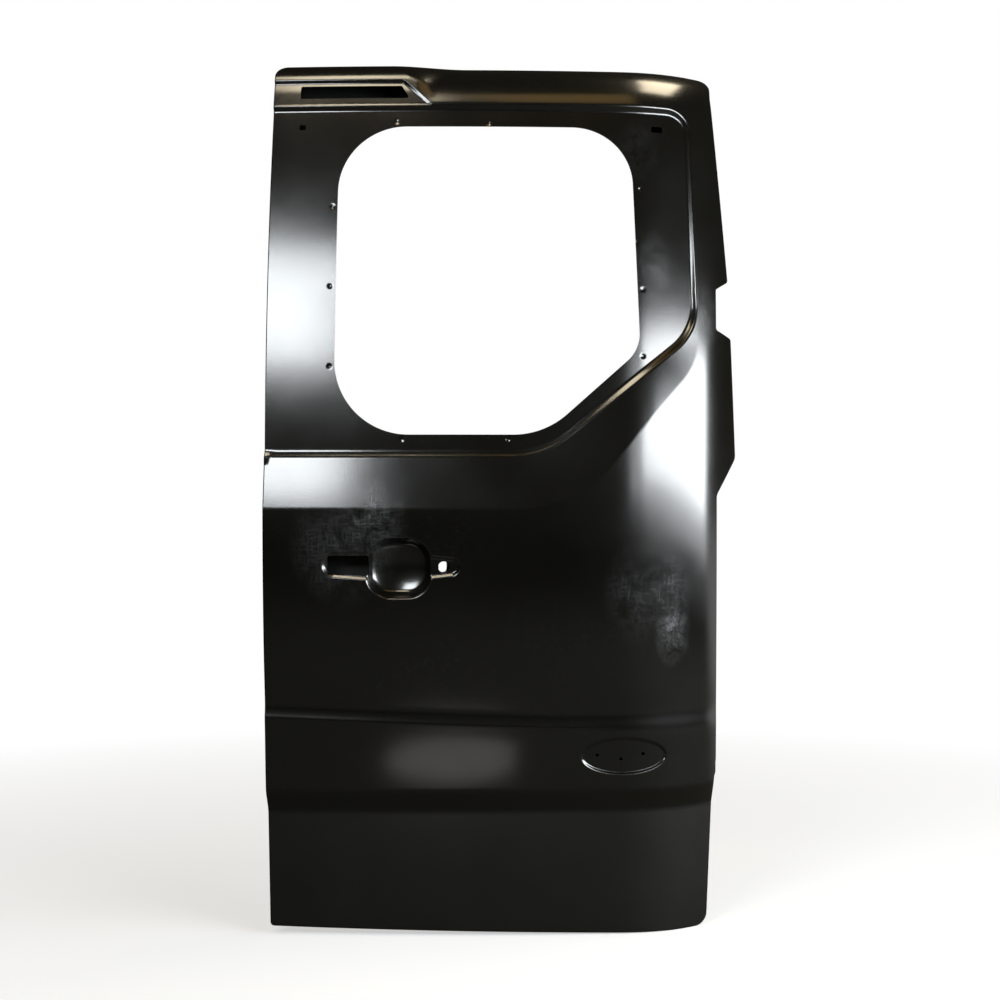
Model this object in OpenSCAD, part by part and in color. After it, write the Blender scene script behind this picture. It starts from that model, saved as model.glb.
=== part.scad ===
// Rear barn door of a campervan: the bare pressed shell, as it comes before glass, handle, lamp and hinges.
// Door frame: x from the meeting edge to the hinge edge, y from the outer face inward, z up.
// The finished door is moved so that its origin lies on the seat of the upper hinge.

/* [Door outline] */
// Height from the lowest corner to the top edge
door_h = 1436; // [1410:1:1460]
// Width along the lower half
lower_w = 732; // [722:1:742]
// How far the cheek, the widest place, stands out beyond the lower half
cheek_out = 35; // [25:1:40]
// How far the top edge falls short of the lower half's width
top_in = 6; // [0:1:16]
// How far the bottom edge falls short of that width
sill_in = 15; // [10:1:22]
// Rise of the bottom edge towards the meeting side
sill_rise = 15; // [5:1:25]
// Radius of the outline's corners
edge_r = 20; // [12:1:28]
// From the top edge down to where the cheek steps out over the lamp
cheek_foot_drop = 716; // [701:1:736]
// From the top edge down to the middle of the notch for the upper hinge
notch_drop = 407; // [396:1:421]
// Clear height of the notch
notch_h = 68; // [56:1:76]
// Depth of the notch below the edge beside it
notch_in = 22; // [16:1:26]

/* [Sheets] */
// Thickness of the outer skin
skin_t = 1; // [0.8:0.1:1.4]
// Thickness of the inner panel
panel_t = 1.2; // [0.8:0.1:1.6]
// Sealer between sheets that lie on each other
seal_gap = 0.3; // [0.2:0.05:0.5]
// Height of the pads that the hinges lie on
pad_h = 1; // [0.6:0.1:1.5]
// Depth of the box between skin and inner panel
box_depth = 50; // [44:1:58]

/* [Outer face] */
// Radius of the face in plan
face_r = 3800; // [3000:50:5000]
// Radius of the cheek that wraps round the corner of the van
cheek_r = 250; // [240:1:270]
// Width of the cheek, from where it begins to the edge of the lower half
cheek_run = 158; // [152:1:172]
// Radius of the face seen from the side
belly_r = 2750; // [2400:50:3200]
// Radius of the roll along the top
crown_r = 62; // [55:1:68]
// Height of the band's upper crease
band_top_z = 344; // [330:1:355]
// Height of the band's lower edge
band_low_z = 241; // [230:1:252]
// Height of the foot of the step below the band
step_foot_z = 208; // [196:1:218]
// How far the band stands proud at its top
band_lip = 5; // [3:0.5:8]
// How far the band stands proud at its lower edge
band_swell = 13; // [8:0.5:18]
// Lean of the skirt below the step
skirt_lean = 5; // [2:0.5:8]

/* [Window] */
// From the window to the hinge edge of the lower half
window_out = 128; // [120:1:150]
// From the top edge down to the window's upper edge
window_head = 110; // [98:1:133]
// From the meeting edge to the window
window_x = 112; // [100:1:125]
// From the top edge down to the window's lower edge
window_drop = 623; // [611:1:631]
// Width of the band of floor above the window
brow_w = 27; // [22:1:32]
// Width of the band of floor below the window
foot_w = 29; // [22:1:36]
// Width of the band of floor on the hinge side
jamb_w = 85; // [75:1:88]
// Set-back of the window floor at the belly
glass_set = 17; // [13:0.5:22]
// Width of the drawn wall round the floor
wall_w = 10; // [7:0.5:12]
// From the window's lower edge down to the waist crease
waist_gap = 115; // [105:1:125]
// Slope of the shoulder between crease and wall
shoulder = 0.143; // [0.1:0.001:0.18]

/* [Handle and badge seats] */
// Middle of the finger bowl, from the meeting edge
bowl_x = 220; // [212:1:228]
// From the waist crease down to the middle of the finger bowl
bowl_drop = 98; // [86:1:106]
// Width of the finger bowl
bowl_w = 103; // [90:1:110]
// Height of the finger bowl
bowl_h = 95; // [84:1:104]
// Depth of the finger bowl
bowl_depth = 25; // [18:0.5:30]
// Depth of the wings beside the bowl
wing_depth = 4; // [2:0.5:6]
// Radius of the lock hole
lock_r = 9; // [7:0.5:11]
// Width of the oval seat
oval_w = 139; // [125:1:146]
// Height of the oval seat
oval_h = 61; // [50:1:68]
// Depth of the oval seat
oval_depth = 3; // [2:0.5:5]

/* [Inner fittings] */
// Distance between the bolts of a hinge
hinge_pitch = 40; // [34:1:46]
// Radius of the hinge bolt holes
hinge_hole_r = 4.5; // [3.5:0.1:5.5]
// Thickness of the hinge plates
plate_t = 3; // [2:0.5:4]
// Middle height of the lower hinge
low_hinge_z = 150; // [120:1:160]
// Height of the latch over the middle of the finger bowl
latch_up = 10; // [-10:1:30]
// Distance between the latch screws, along the edge
latch_pitch = 80; // [70:1:90]
// Radius of the latch screw holes
latch_hole_r = 3.3; // [2.5:0.1:4]
// Thickness of rails, beams and small plates
rail_t = 1.5; // [1:0.1:2]
// Thickness of the mastic between skin and beams
mastic_t = 3; // [2:0.5:5]

/* [Hidden] */

cheek_w = lower_w + cheek_out;
top_w = lower_w - top_in;
sill_w = lower_w - sill_in;
cheek_x = lower_w - cheek_run;
window_w = lower_w - window_x - window_out;
cheek_foot_z = door_h - cheek_foot_drop;
notch_z = door_h - notch_drop;
window_z = door_h - window_drop;
window_h = window_drop - window_head;
waist_z = window_z - waist_gap;
// Heights of the fullest place, and where the window floor is upright
belly_z = waist_z + 2;
glass_z = waist_z + 42;
bowl_z = waist_z - bowl_drop;
latch_z = bowl_z + latch_up;
// Where rails and beams end, short of the cheek
rail_end = lower_w - 166;

// Reach of the cutting solids before, behind and beside the door
front_y = -160;
back_y = 420;
over = 60;

skin_black = "#17181a";
panel_black = "#1c1d1f";
rail_black = "#1f2021";
plate_black = "#232425";
nut_grey = "#5a5a55";
mastic_grey = "#3b3b38";

cheek_a = asin(cheek_x / face_r);
cheek_cx = cheek_x - cheek_r * sin(cheek_a);
cheek_cy = rise(face_r, cheek_x) + cheek_r * cos(cheek_a);
crown_z = door_h - 0.9 * crown_r;

function unit(v) = v / norm(v);
function mix(a, b, t) = a + (b - a) * t;
// How far a circle of radius r has fallen back at distance d from its crest
function rise(r, d) = r - sqrt(r * r - d * d);

// Plan of the outer face
function plan_y(x) = x <= cheek_x ? rise(face_r, x)
    : cheek_cy - sqrt(pow(cheek_r, 2) - pow(x - cheek_cx, 2));
function plan_turn(x) = x <= cheek_x ? asin(x / face_r) : asin((x - cheek_cx) / cheek_r);
// Side view of the outer face
function side_y(z) = z < band_top_z + band_fade ? lookup(z, foot_rows)
    : rise(belly_r, z - belly_z) + (z > crown_z ? rise(crown_r, min(z - crown_z, crown_r - 1)) : 0);
function side_slope(z) = (side_y(z + 0.5) - side_y(z - 0.5));
function face_y(p) = plan_y(p[0]) + side_y(p[1]);
// Depth along y that a sheet offset by one millimetre takes at a place on the face
function steep(p) = sqrt(1 + pow(tan(plan_turn(p[0])), 2) + pow(side_slope(p[1]), 2));
function glass_y(p) = plan_y(p[0]) + glass_set + rise(belly_r, p[1] - glass_z);

// Rows of the side view, [y, z] from below the sill to over the crown
skirt_y = rise(belly_r, step_foot_z - belly_z);
band_fade = 11;
foot_rows = [
    [-over, skirt_y + (step_foot_z + over) * tan(skirt_lean)],
    [step_foot_z, skirt_y],
    [band_low_z, rise(belly_r, band_low_z - belly_z) - band_swell],
    [band_top_z, rise(belly_r, band_top_z - belly_z) - band_lip],
    [band_top_z + band_fade, rise(belly_r, band_top_z + band_fade - belly_z)]
];
low_rows = 3;
high_rows = 6;
crown_rows = 6;
crown_end = 84;
face_rows = concat(
    [for (r = foot_rows) [r[1], r[0]]],
    [for (i = [1:low_rows])
        let (z = mix(band_top_z + band_fade, waist_z, i / low_rows)) [rise(belly_r, z - belly_z), z]],
    [for (i = [1:high_rows])
        let (z = mix(waist_z, crown_z, i / high_rows)) [rise(belly_r, z - belly_z), z]],
    [for (i = [1:crown_rows]) let (
            a = i * crown_end / crown_rows,
            z = crown_z + crown_r * sin(a)
        ) [rise(belly_r, z - belly_z) + crown_r * (1 - cos(a)), z]]
);
// Rows of the inner face, without band and crown
inner_rows = concat(
    [[skirt_y, -over]],
    [for (i = [0:7]) let (z = mix(step_foot_z, crown_z, i / 7)) [rise(belly_r, z - belly_z), z]],
    [[rise(belly_r, crown_z - belly_z) + 2 * over * (crown_z - belly_z) / belly_r, crown_z + 2 * over]]
);

// Columns of the plan, [x, y, turn]
flat_cols = 7;
cheek_cols = 9;
cheek_end = 84;
inner_cheek_end = 48;
function flat_columns() = concat(
    [[-over, rise(face_r, over), -asin(over / face_r)]],
    [for (i = [0:flat_cols]) let (x = cheek_x * i / flat_cols) [x, rise(face_r, x), asin(x / face_r)]]
);
function cheek_columns(n, last) = [for (i = [1:n])
    let (a = mix(cheek_a, last, i / n)) [cheek_cx + cheek_r * sin(a), cheek_cy - cheek_r * cos(a), a]];
face_cols = concat(flat_columns(), cheek_columns(cheek_cols, cheek_end));
inner_cols = concat(flat_columns(), cheek_columns(5, inner_cheek_end),
    [[cheek_cx + cheek_r * sin(inner_cheek_end) + 150 * cos(inner_cheek_end),
      cheek_cy - cheek_r * cos(inner_cheek_end) + 150 * sin(inner_cheek_end), inner_cheek_end]]);

// Mitre of a row: how its point moves for an offset of one
function row_normal(p, q) = let (d = unit(q - p)) [d[1], -d[0]];
function mitre(rows, j) = let (
        last = len(rows) - 1,
        a = row_normal(rows[max(j - 1, 0)], rows[max(j, 1)]),
        b = row_normal(rows[min(j, last - 1)], rows[min(j + 1, last)])
    ) (a + b) / (1 + a * b);
function face_point(col, row, m, off) = let (
        b = m[1] / m[0],
        k = sqrt((1 + b * b) / (1 + pow(cos(col[2]) * b, 2)))
    ) [
        col[0] - off * k * sin(col[2]) * m[0],
        col[1] + row[0] + off * k * cos(col[2]) * m[0],
        row[1] + off * k * cos(col[2]) * m[1]
    ];

// Solid behind a face that is offset inward by off
module block(cols, rows, off) {
    nc = len(cols);
    nr = len(rows);
    ms = [for (j = [0:nr - 1]) mitre(rows, j)];
    front = [for (c = cols) [for (j = [0:nr - 1]) face_point(c, rows[j], ms[j], off)]];
    rim = concat(
        [for (i = [0:nc - 1]) [i, 0]],
        [for (j = [1:nr - 1]) [nc - 1, j]],
        [for (i = [nc - 2:-1:0]) [i, nr - 1]],
        [for (j = [nr - 2:-1:1]) [0, j]]
    );
    n = len(rim);
    base = nc * nr;
    points = concat(
        [for (c = front) each c],
        [for (r = rim) let (p = front[r[0]][r[1]]) [p[0], back_y, p[2]]]
    );
    faces = concat(
        [for (i = [0:nc - 2]) for (j = [0:nr - 2]) let (a = i * nr + j)
            each [[a, a + 1, a + nr + 1], [a, a + nr + 1, a + nr]]],
        [for (k = [0:n - 1]) let (
                p = rim[k][0] * nr + rim[k][1],
                q = rim[(k + 1) % n][0] * nr + rim[(k + 1) % n][1]
            ) [p, q, base + (k + 1) % n, base + k]],
        [[for (k = [0:n - 1]) base + k]]
    );
    polyhedron(points, faces);
}

// Outline from corners [x, z, r], rounded by arcs of n steps
function corner_arc(a, p, b, n) = let (
        o = [p[0], p[1]],
        u = unit([a[0], a[1]] - o),
        v = unit([b[0], b[1]] - o),
        half = acos(u * v) / 2,
        c = o + unit(u + v) * p[2] / sin(half),
        s = o + u * p[2] / tan(half) - c,
        e = o + v * p[2] / tan(half) - c,
        a0 = atan2(s[1], s[0]),
        turn = (atan2(e[1], e[0]) - a0 + 900) % 360 - 180
    ) [for (i = [0:n]) c + p[2] * [cos(a0 + turn * i / n), sin(a0 + turn * i / n)]];
function outline(cs, n = 5) = let (m = len(cs))
    [for (i = [0:m - 1]) each (cs[i][2] == 0 ? [[cs[i][0], cs[i][1]]]
        : corner_arc(cs[(i + m - 1) % m], cs[i], cs[(i + 1) % m], n))];
// Corners moved outward by d, for corners that run anticlockwise
function edge_normal(a, b) = let (d = unit([b[0] - a[0], b[1] - a[1]])) [d[1], -d[0]];
function grown(cs, d) = let (m = len(cs)) [for (i = [0:m - 1]) let (
        a = edge_normal(cs[(i + m - 1) % m], cs[i]),
        b = edge_normal(cs[i], cs[(i + 1) % m]),
        v = (a + b) / (1 + a * b) * d,
        bend = a[0] * b[1] - a[1] * b[0]
    ) [cs[i][0] + v[0], cs[i][1] + v[1], cs[i][2] == 0 ? 0 : max(cs[i][2] + (bend > 0 ? d : -d), 0.5)]];
// Straight stretches split alike in matched outlines
function splits(pts, len_max) = let (m = len(pts))
    [for (i = [0:m - 1]) ceil(norm(pts[(i + 1) % m] - pts[i]) / len_max)];
function refined(pts, ks) = let (m = len(pts))
    [for (i = [0:m - 1]) for (k = [0:ks[i] - 1]) mix(pts[i], pts[(i + 1) % m], k / ks[i])];

// Upright wall through the door, of an outline in x and z
module prism(pts, y0 = front_y - 10, y1 = back_y + 10) {
    translate([0, y1, 0])
        rotate([90, 0, 0])
            linear_extrude(y1 - y0)
                polygon(pts);
}

// Closed solid from matched rings of points, front ring first
module loft(rings) {
    n = len(rings[0]);
    m = len(rings);
    faces = concat(
        [[for (i = [n - 1:-1:0]) i]],
        [for (k = [0:m - 2]) for (i = [0:n - 1]) let (a = k * n, j = (i + 1) % n)
            each [[a + i, a + j, a + n + i], [a + j, a + n + j, a + n + i]]],
        [for (i = [0:n - 1]) [(m - 1) * n + i, (m - 1) * n + (i + 1) % n, m * n]]
    );
    last = rings[m - 1];
    mid = [for (k = [0:2]) let (v = [for (p = last) p[k]]) (max(v) + min(v)) / 2];
    polyhedron(concat([for (r = rings) each r], [mid]), faces);
}

// Window recess
wall_x0 = -over;
foot_corners = [
    [wall_x0, window_z - foot_w, 0],
    [window_x + window_w - 158, window_z - foot_w, 140],
    [window_x + window_w + jamb_w, window_z + 174, 90],
    [window_x + window_w + jamb_w - 12, window_z + window_h + brow_w, 30],
    [wall_x0, window_z + window_h + brow_w, 0]
];
brow_corners = grown(foot_corners, wall_w);
waist_corners = [
    [wall_x0 - wall_w, waist_z, 0],
    [window_x + window_w - 105, waist_z, 210],
    [brow_corners[2][0] + 1, waist_z + 240, 110],
    [brow_corners[3][0] + 1, brow_corners[3][1] + 1, brow_corners[3][2]],
    [wall_x0 - wall_w, brow_corners[4][1] + 1, 0]
];
lead = 6;
recess_mid = [window_x + window_w / 2 - 56, window_z + window_h / 2];
foot_raw = outline(foot_corners);
recess_splits = splits(foot_raw, 90);
foot_line = refined(foot_raw, recess_splits);
brow_line = refined(outline(brow_corners), recess_splits);
waist_line = refined(outline(waist_corners), recess_splits);
lead_line = refined(outline(grown(waist_corners, lead)), recess_splits);

module recess_cutter(off) {
    function on(p, y) = [p[0], y + off * steep(p), p[1]];
    loft([
        [for (p = lead_line) [p[0], front_y, p[1]]],
        [for (p = lead_line) on(p, face_y(p) - lead * shoulder)],
        [for (i = [0:len(brow_line) - 1])
            on(brow_line[i], face_y(brow_line[i]) + max(1, shoulder * norm(brow_line[i] - waist_line[i])))],
        [for (p = foot_line) on(p, glass_y(p))],
        [for (q = foot_line) let (p = mix(recess_mid, q, 0.8)) on(p, glass_y(p))],
        [for (q = foot_line) let (p = mix(recess_mid, q, 0.5)) on(p, glass_y(p))]
    ]);
}

window_corners = [
    [window_x, window_z, 120],
    [window_x + window_w - 155, window_z, 130],
    [window_x + window_w, window_z + 139, 60],
    [window_x + window_w - 16, window_z + window_h, 100],
    [window_x, window_z + window_h, 110]
];

module face_block(off) {
    difference() {
        block(face_cols, face_rows, off);
        recess_cutter(off);
        lamp_seat_cutter(off);
        dimple_cutter(off);
    }
}

// Outline of the door, anticlockwise from the foot of the meeting edge
shoulder_z = notch_z + notch_h / 2;
notch_low_z = notch_z - notch_h / 2;
door_corners = [
    [0, sill_rise, 6],
    [sill_w - 60, 0, 40],
    [sill_w, 0, edge_r],
    [sill_w + 8, step_foot_z, 60],
    [lower_w, band_low_z + 40, 60],
    [lower_w, cheek_foot_z, 20],
    [cheek_w, cheek_foot_z + 62, 20],
    [cheek_w - 8, notch_low_z - 12, 6],
    [lower_w, notch_low_z, 6],
    [lower_w, shoulder_z, 6],
    [lower_w + notch_in, shoulder_z + 16, 6],
    [top_w, door_h - 40, 60],
    [top_w, door_h, edge_r],
    [0, door_h, edge_r]
];
// The box inside the hem
box_corners = [
    [14, sill_rise + 14, 12],
    [sill_w - 5, 14, 12],
    [sill_w - 5, step_foot_z + 20, 12],
    [lower_w - 6, step_foot_z + 50, 12],
    [lower_w - 6, cheek_foot_z + 14, 12],
    [cheek_w - 18, cheek_foot_z + 70, 12],
    [cheek_w - 18, notch_low_z - 24, 8],
    [lower_w - 6, notch_low_z - 10, 8],
    [lower_w - 6, shoulder_z + 10, 8],
    [lower_w + notch_in - 7, shoulder_z + 26, 8],
    [top_w - 6, door_h - 44, 30],
    [top_w - 6, door_h - 7, 14],
    [14, door_h - 7, 12]
];

module window_hole(extra) {
    prism(outline(grown(window_corners, extra)));
}

// Seat of the brake lamp, a sunk strip with a slanted end
lamp_end = 262;
lamp_top_end = 216;
lamp_low_z = brow_corners[4][1] - 6;
lamp_top_z = door_h - 26;
lamp_corners = [
    [wall_x0, lamp_low_z, 0],
    [lamp_end, lamp_low_z, 0],
    [lamp_end, lamp_low_z + 9, 6],
    [lamp_top_end, lamp_top_z, 10],
    [wall_x0, lamp_top_z, 0]
];
lamp_raw = outline(lamp_corners, 3);
lamp_splits = splits(lamp_raw, 70);
lamp_wall = 7;
lamp_line = refined(lamp_raw, lamp_splits);
lamp_foot = refined(outline(grown(lamp_corners, -lamp_wall), 3), lamp_splits);
lamp_depth = 6;
lamp_mid = [90, door_h - 50];
// Slot for the lamp's plug
slot_low_z = door_h - 62;
slot_high_z = door_h - 40;
lamp_slot = [[45, slot_low_z], [226, slot_low_z], [212, slot_high_z], [45, slot_high_z]];

module lamp_seat_cutter(off) {
    function on(p, y) = [p[0], y + off * steep(p), p[1]];
    loft([
        [for (p = lamp_line) [p[0], front_y, p[1]]],
        [for (p = lamp_line) on(p, face_y(p) - 0.5)],
        [for (p = lamp_foot) on(p, face_y(p) + lamp_depth)],
        [for (q = lamp_foot) let (p = mix(lamp_mid, q, 0.5)) on(p, face_y(p) + lamp_depth)]
    ]);
}

// Bowl for the fingers, with a wing each side for the handle's arms
bowl_edge_r = 38;
left_tip = [bowl_x - 102, bowl_z + 6];
left_root = [bowl_x - 40, bowl_z + 4];
right_tip = [bowl_x + 83, bowl_z + 2];
right_root = [bowl_x + 40, bowl_z + 2];
module bowl_cutter(off) {
    y = face_y([bowl_x, bowl_z]);
    ball = bowl_edge_r;
    hull()
        for (sx = [-1, 1], sz = [-1, 1])
            translate([bowl_x + sx * (bowl_w / 2 - ball), y, bowl_z + sz * (bowl_h / 2 - ball)])
                scale([ball + off, bowl_depth + off, ball + off])
                    sphere(1, $fn = 20);
    wing(left_tip, left_root, 21, 24, off);
    wing(right_tip, right_root, 15, 20, off);
}
module wing(p, q, rp, rq, off) {
    hull() {
        wing_end(p, rp, off);
        wing_end(q, rq, off);
    }
}
module wing_end(p, r, off) {
    y = face_y(p);
    ahead = 12;
    translate([p[0], y - ahead, p[1]])
        rotate([-90, 0, 0])
            cylinder(r = r + off, h = ahead, $fn = 24);
    translate([p[0], y, p[1]])
        rotate([-90, 0, 0])
            cylinder(r1 = r + off, r2 = r + off - wing_depth / 2, h = wing_depth + off, $fn = 24);
}

// Oval seat on the band, following the cheek
oval_mid = [lower_w - 155, (band_low_z + band_top_z) / 2 + 6];
function oval_ring(grow, y, n = 20) = [for (i = [0:n - 1]) let (
        a = 360 * i / n,
        p = oval_mid + [(oval_w / 2 + grow) * cos(a), (oval_h / 2 + grow) * sin(a)]
    ) [p[0], face_y(p) + y, p[1]]];
module oval_cutter(off) {
    loft([
        [for (p = oval_ring(off, 0)) [p[0], front_y, p[2]]],
        oval_ring(off, off),
        oval_ring(off - 4, oval_depth + off),
        oval_ring(off - 18, oval_depth + off)
    ]);
}

// Small dimples pressed into the window floor, and their depth
jamb_x = lower_w - 132;
dimples = [
    [102, window_z + 393], [98, window_z + 259], [97, window_z + 127],
    [232, window_z + 529], [382, window_z + 525],
    [jamb_x, window_z + 421], [jamb_x, window_z + 333],
    [jamb_x + 11, window_z + 257], [jamb_x + 11, window_z + 145],
    [216, window_z - 13], [392, window_z - 13]
];
dimple_depth = 1.2;
module dimple_cutter(off) {
    for (p = dimples)
        hull()
            for (s = [[5, -3], [2.5, dimple_depth]])
                translate([p[0], glass_y(p) + s[1] + off, p[1]])
                    rotate([90, 0, 0])
                        cylinder(r = s[0] + off / 2, h = 0.2, $fn = 8);
}

module skin_block(off) {
    difference() {
        face_block(off);
        bowl_cutter(off);
        oval_cutter(off);
    }
}

// Slot for the handle's lever, in the left wing
handle_slot = [
    [bowl_x - 116, bowl_z - 8], [bowl_x - 50, bowl_z - 8],
    [bowl_x - 50, bowl_z + 23], [bowl_x - 116, bowl_z + 23]
];
// Holes for trim clips in the window floor, [x, z, width, height]
trim_holes = [
    [50, window_z + window_h - 1, 11, 9],
    [lower_w - 100, window_z + window_h, 18, 10]
];
// Pin holes of the oval seat, from its middle
pin_holes = [[-43, 2], [-5, -5], [31, 3]];
pin_r = 2.6;
lock_mid = [bowl_x + 72, bowl_z + 2];

module skin_holes() {
    prism(handle_slot);
    prism(lamp_slot);
    for (h = trim_holes)
        translate([h[0] - h[2] / 2, front_y, h[1] - h[3] / 2])
            cube([h[2], back_y - front_y, h[3]]);
    for (p = pin_holes)
        through(oval_mid + p, pin_r, 16);
    through(lock_mid, lock_r, 32);
    window_hole(0);
}
module through(p, r, fn) {
    translate([p[0], front_y, p[1]])
        rotate([-90, 0, 0])
            cylinder(r = r, h = back_y - front_y, $fn = fn);
}

// The skin's edge is folded back over the flange of the inner panel
module outer_skin() {
    hem_near = skin_t + 2 * seal_gap + panel_t;
    color(skin_black)
        difference() {
            intersection() {
                prism(outline(door_corners));
                skin_block(0);
            }
            skin_block(hem_near + skin_t);
            difference() {
                intersection() {
                    prism(outline(grown(door_corners, -skin_t)));
                    skin_block(skin_t);
                }
                difference() {
                    face_block(hem_near);
                    prism(outline(grown(box_corners, panel_t + 1)));
                }
            }
            skin_holes();
        }
}

// Openings of the inner panel, [x, z, width, height, corner radius]; the last serves the lock
access_x = lower_w - 292;
low_access_z = 190;
access_holes = [
    [160, bowl_z - 92, 190, 160, 30],
    [access_x, bowl_z - 40, 250, 190, 34],
    [185, low_access_z, 200, 150, 30],
    [access_x, low_access_z, 230, 150, 34],
    [bowl_x + 65, bowl_z + 2, 13, 20, 6]
];
// Holes for the clips of the inner trim
clip_r = 5;
clip_holes = [
    [40, window_z - 53], [300, window_z - 73], [jamb_x - 40, window_z - 73],
    [40, 440], [300, 440], [jamb_x, 440],
    [40, 95], [300, 95], [jamb_x, 95],
    [40, notch_z + 91], [jamb_x + 60, notch_z + 91], [300, bowl_z + 55]
];
module panel_hole(h) {
    hull()
        for (sx = [-1, 1], sz = [-1, 1])
            translate([h[0] + sx * (h[2] / 2 - h[4]), 0, h[1] + sz * (h[3] / 2 - h[4])])
                rotate([-90, 0, 0])
                    cylinder(r = h[4], h = back_y, $fn = h[4] > 6 ? 20 : 10);
}

// Beads pressed into the inner panel, [x0, x1, z, half width]
beads = [
    [50, rail_end + 4, 330, 9], [50, rail_end + 4, 410, 9],
    [70, rail_end - 6, 80, 8], [60, rail_end - 6, bowl_z + 90, 8]
];
bead_h = 5;
module bead_cutter(extra) {
    for (b = beads)
        hull()
            for (x = [b[0], b[1]])
                translate([x, 0, b[2]])
                    rotate([-90, 0, 0])
                        cylinder(r = b[3] + extra, h = back_y - 5, $fn = 16);
}

// Hollow between skin and inner panel; it ends clear of the window's edge
window_flange = 16;
module box_cavity(extra) {
    difference() {
        prism(outline(grown(box_corners, extra)), front_y);
        prism(outline(grown(window_corners, window_flange - extra)));
        difference() {
            block(inner_cols, inner_rows, box_depth + extra);
            difference() {
                bead_cutter(extra);
                block(inner_cols, inner_rows, box_depth + bead_h + extra);
            }
        }
    }
}

// The holes in the side walls are clearance holes; the plates behind them take the screws
clearance = 1;
module inner_panel() {
    near = skin_t + seal_gap;
    color(panel_black)
        difference() {
            union() {
                difference() {
                    intersection() {
                        prism(outline(grown(door_corners, -near)));
                        face_block(near);
                    }
                    box_cavity(0);
                    difference() {
                        face_block(near + panel_t);
                        box_cavity(panel_t);
                    }
                }
                hinge_pad([lower_wall, hinge_y, notch_z]);
                hinge_pad([sill_wall, low_hinge_y, low_hinge_z]);
            }
            window_hole(1);
            for (h = access_holes)
                panel_hole(h);
            for (p = clip_holes)
                panel_hole([p[0], p[1], 2 * clip_r, 2 * clip_r, clip_r - 1]);
            for (h = pair(hinge_pitch)) {
                wall_hole([lower_wall - 10, hinge_y, notch_z] + [0, h[0], h[1]], hinge_hole_r);
                wall_hole([sill_wall - 10, low_hinge_y, low_hinge_z] + [0, h[0], h[1]], hinge_hole_r);
            }
            for (h = pair(check_pitch))
                wall_hole([lower_wall - 10, check_y, check_z] + [0, h[0], h[1]], latch_hole_r);
            for (h = four(latch_span, latch_pitch))
                wall_hole([0, latch_y, latch_z] + [0, h[0], h[1]], latch_hole_r);
            latch_mouth();
        }
}
// Pad pressed out of the side wall, so that a hinge lies clear of the flange
module hinge_pad(at) {
    translate(at - [0, pad_size[0] / 2, pad_size[1] / 2])
        cube([panel_t + pad_h, pad_size[0], pad_size[1]]);
}
module wall_hole(p, r) {
    translate(p)
        rotate([0, 90, 0])
            cylinder(r = r + clearance, h = 20, $fn = 12);
}
// Opening that the latch's bolt works through
mouth_size = [30, 16, 28];
module latch_mouth() {
    translate([0, latch_y - mouth_size[1] / 2, latch_z - mouth_size[2] / 2])
        cube(mouth_size);
}

// Inner faces of the walls that carry hinges, strap and latch
lower_wall = lower_w - 6;
sill_wall = sill_w - 5;
lock_wall = 14;
pad_size = [38, 64];
hinge_y = 188;
low_hinge_y = skirt_y + 153.63;
check_y = 172;
check_z = bowl_z - 40;
check_pitch = 50;
latch_y = 31;
latch_span = 22;

// Plate against a wall, its hole pattern and its nuts; dir is the side on which the nuts lie
module tapping_plate(at, dir, size, t, holes, r) {
    translate(at)
        mirror([dir > 0 ? 0 : 1, 0, 0])
            difference() {
                translate([seal_gap, -size[0] / 2, -size[1] / 2])
                    cube([t, size[0], size[1]]);
                for (h = holes)
                    translate([-1, h[0], h[1]])
                        rotate([0, 90, 0])
                            cylinder(r = r, h = t + 4, $fn = 32);
            }
}
module weld_nuts(at, dir, t, holes, r) {
    translate(at)
        mirror([dir > 0 ? 0 : 1, 0, 0])
            for (h = holes)
                translate([seal_gap + t, h[0], h[1]])
                    rotate([0, 90, 0])
                        difference() {
                            cylinder(r = 1.9 * r, h = 1.6 * r, $fn = 6);
                            translate([0, 0, -1])
                                cylinder(r = r * 0.9, h = 2 * r + 2, $fn = 32);
                        }
}
function pair(pitch) = [for (s = [-1, 1]) [0, s * pitch / 2]];
function four(span, pitch) = [for (s = [-1, 1]) for (t = [-1, 1]) [t * span / 2, s * pitch / 2]];

// Where the plates lie, and their sizes along the wall and up it
upper_hinge_at = [lower_wall, hinge_y, notch_z];
upper_plate = [44, 70];
lower_hinge_at = [sill_wall, low_hinge_y, low_hinge_z];
lower_plate = [42, 74];
check_at = [lower_wall, check_y, check_z];
check_plate = [34, 84];
latch_at = [lock_wall, latch_y, latch_z];
latch_size = [34, 110];

module upper_hinge_plate() {
    color(plate_black)
        tapping_plate(upper_hinge_at, -1, upper_plate, plate_t, pair(hinge_pitch), hinge_hole_r);
}
module upper_hinge_nuts() {
    color(nut_grey)
        weld_nuts(upper_hinge_at, -1, plate_t, pair(hinge_pitch), hinge_hole_r);
}
module lower_hinge_plate() {
    color(plate_black)
        tapping_plate(lower_hinge_at, -1, lower_plate, plate_t, pair(hinge_pitch), hinge_hole_r);
}
module lower_hinge_nuts() {
    color(nut_grey)
        weld_nuts(lower_hinge_at, -1, plate_t, pair(hinge_pitch), hinge_hole_r);
}
module check_strap_plate() {
    color(plate_black)
        tapping_plate(check_at, -1, check_plate, rail_t, pair(check_pitch), latch_hole_r);
}
module check_strap_nuts() {
    color(nut_grey)
        weld_nuts(check_at, -1, rail_t, pair(check_pitch), latch_hole_r);
}
module latch_plate() {
    color(plate_black)
        difference() {
            tapping_plate(latch_at, 1, latch_size, rail_t, four(latch_span, latch_pitch), latch_hole_r);
            latch_mouth();
        }
}
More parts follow.
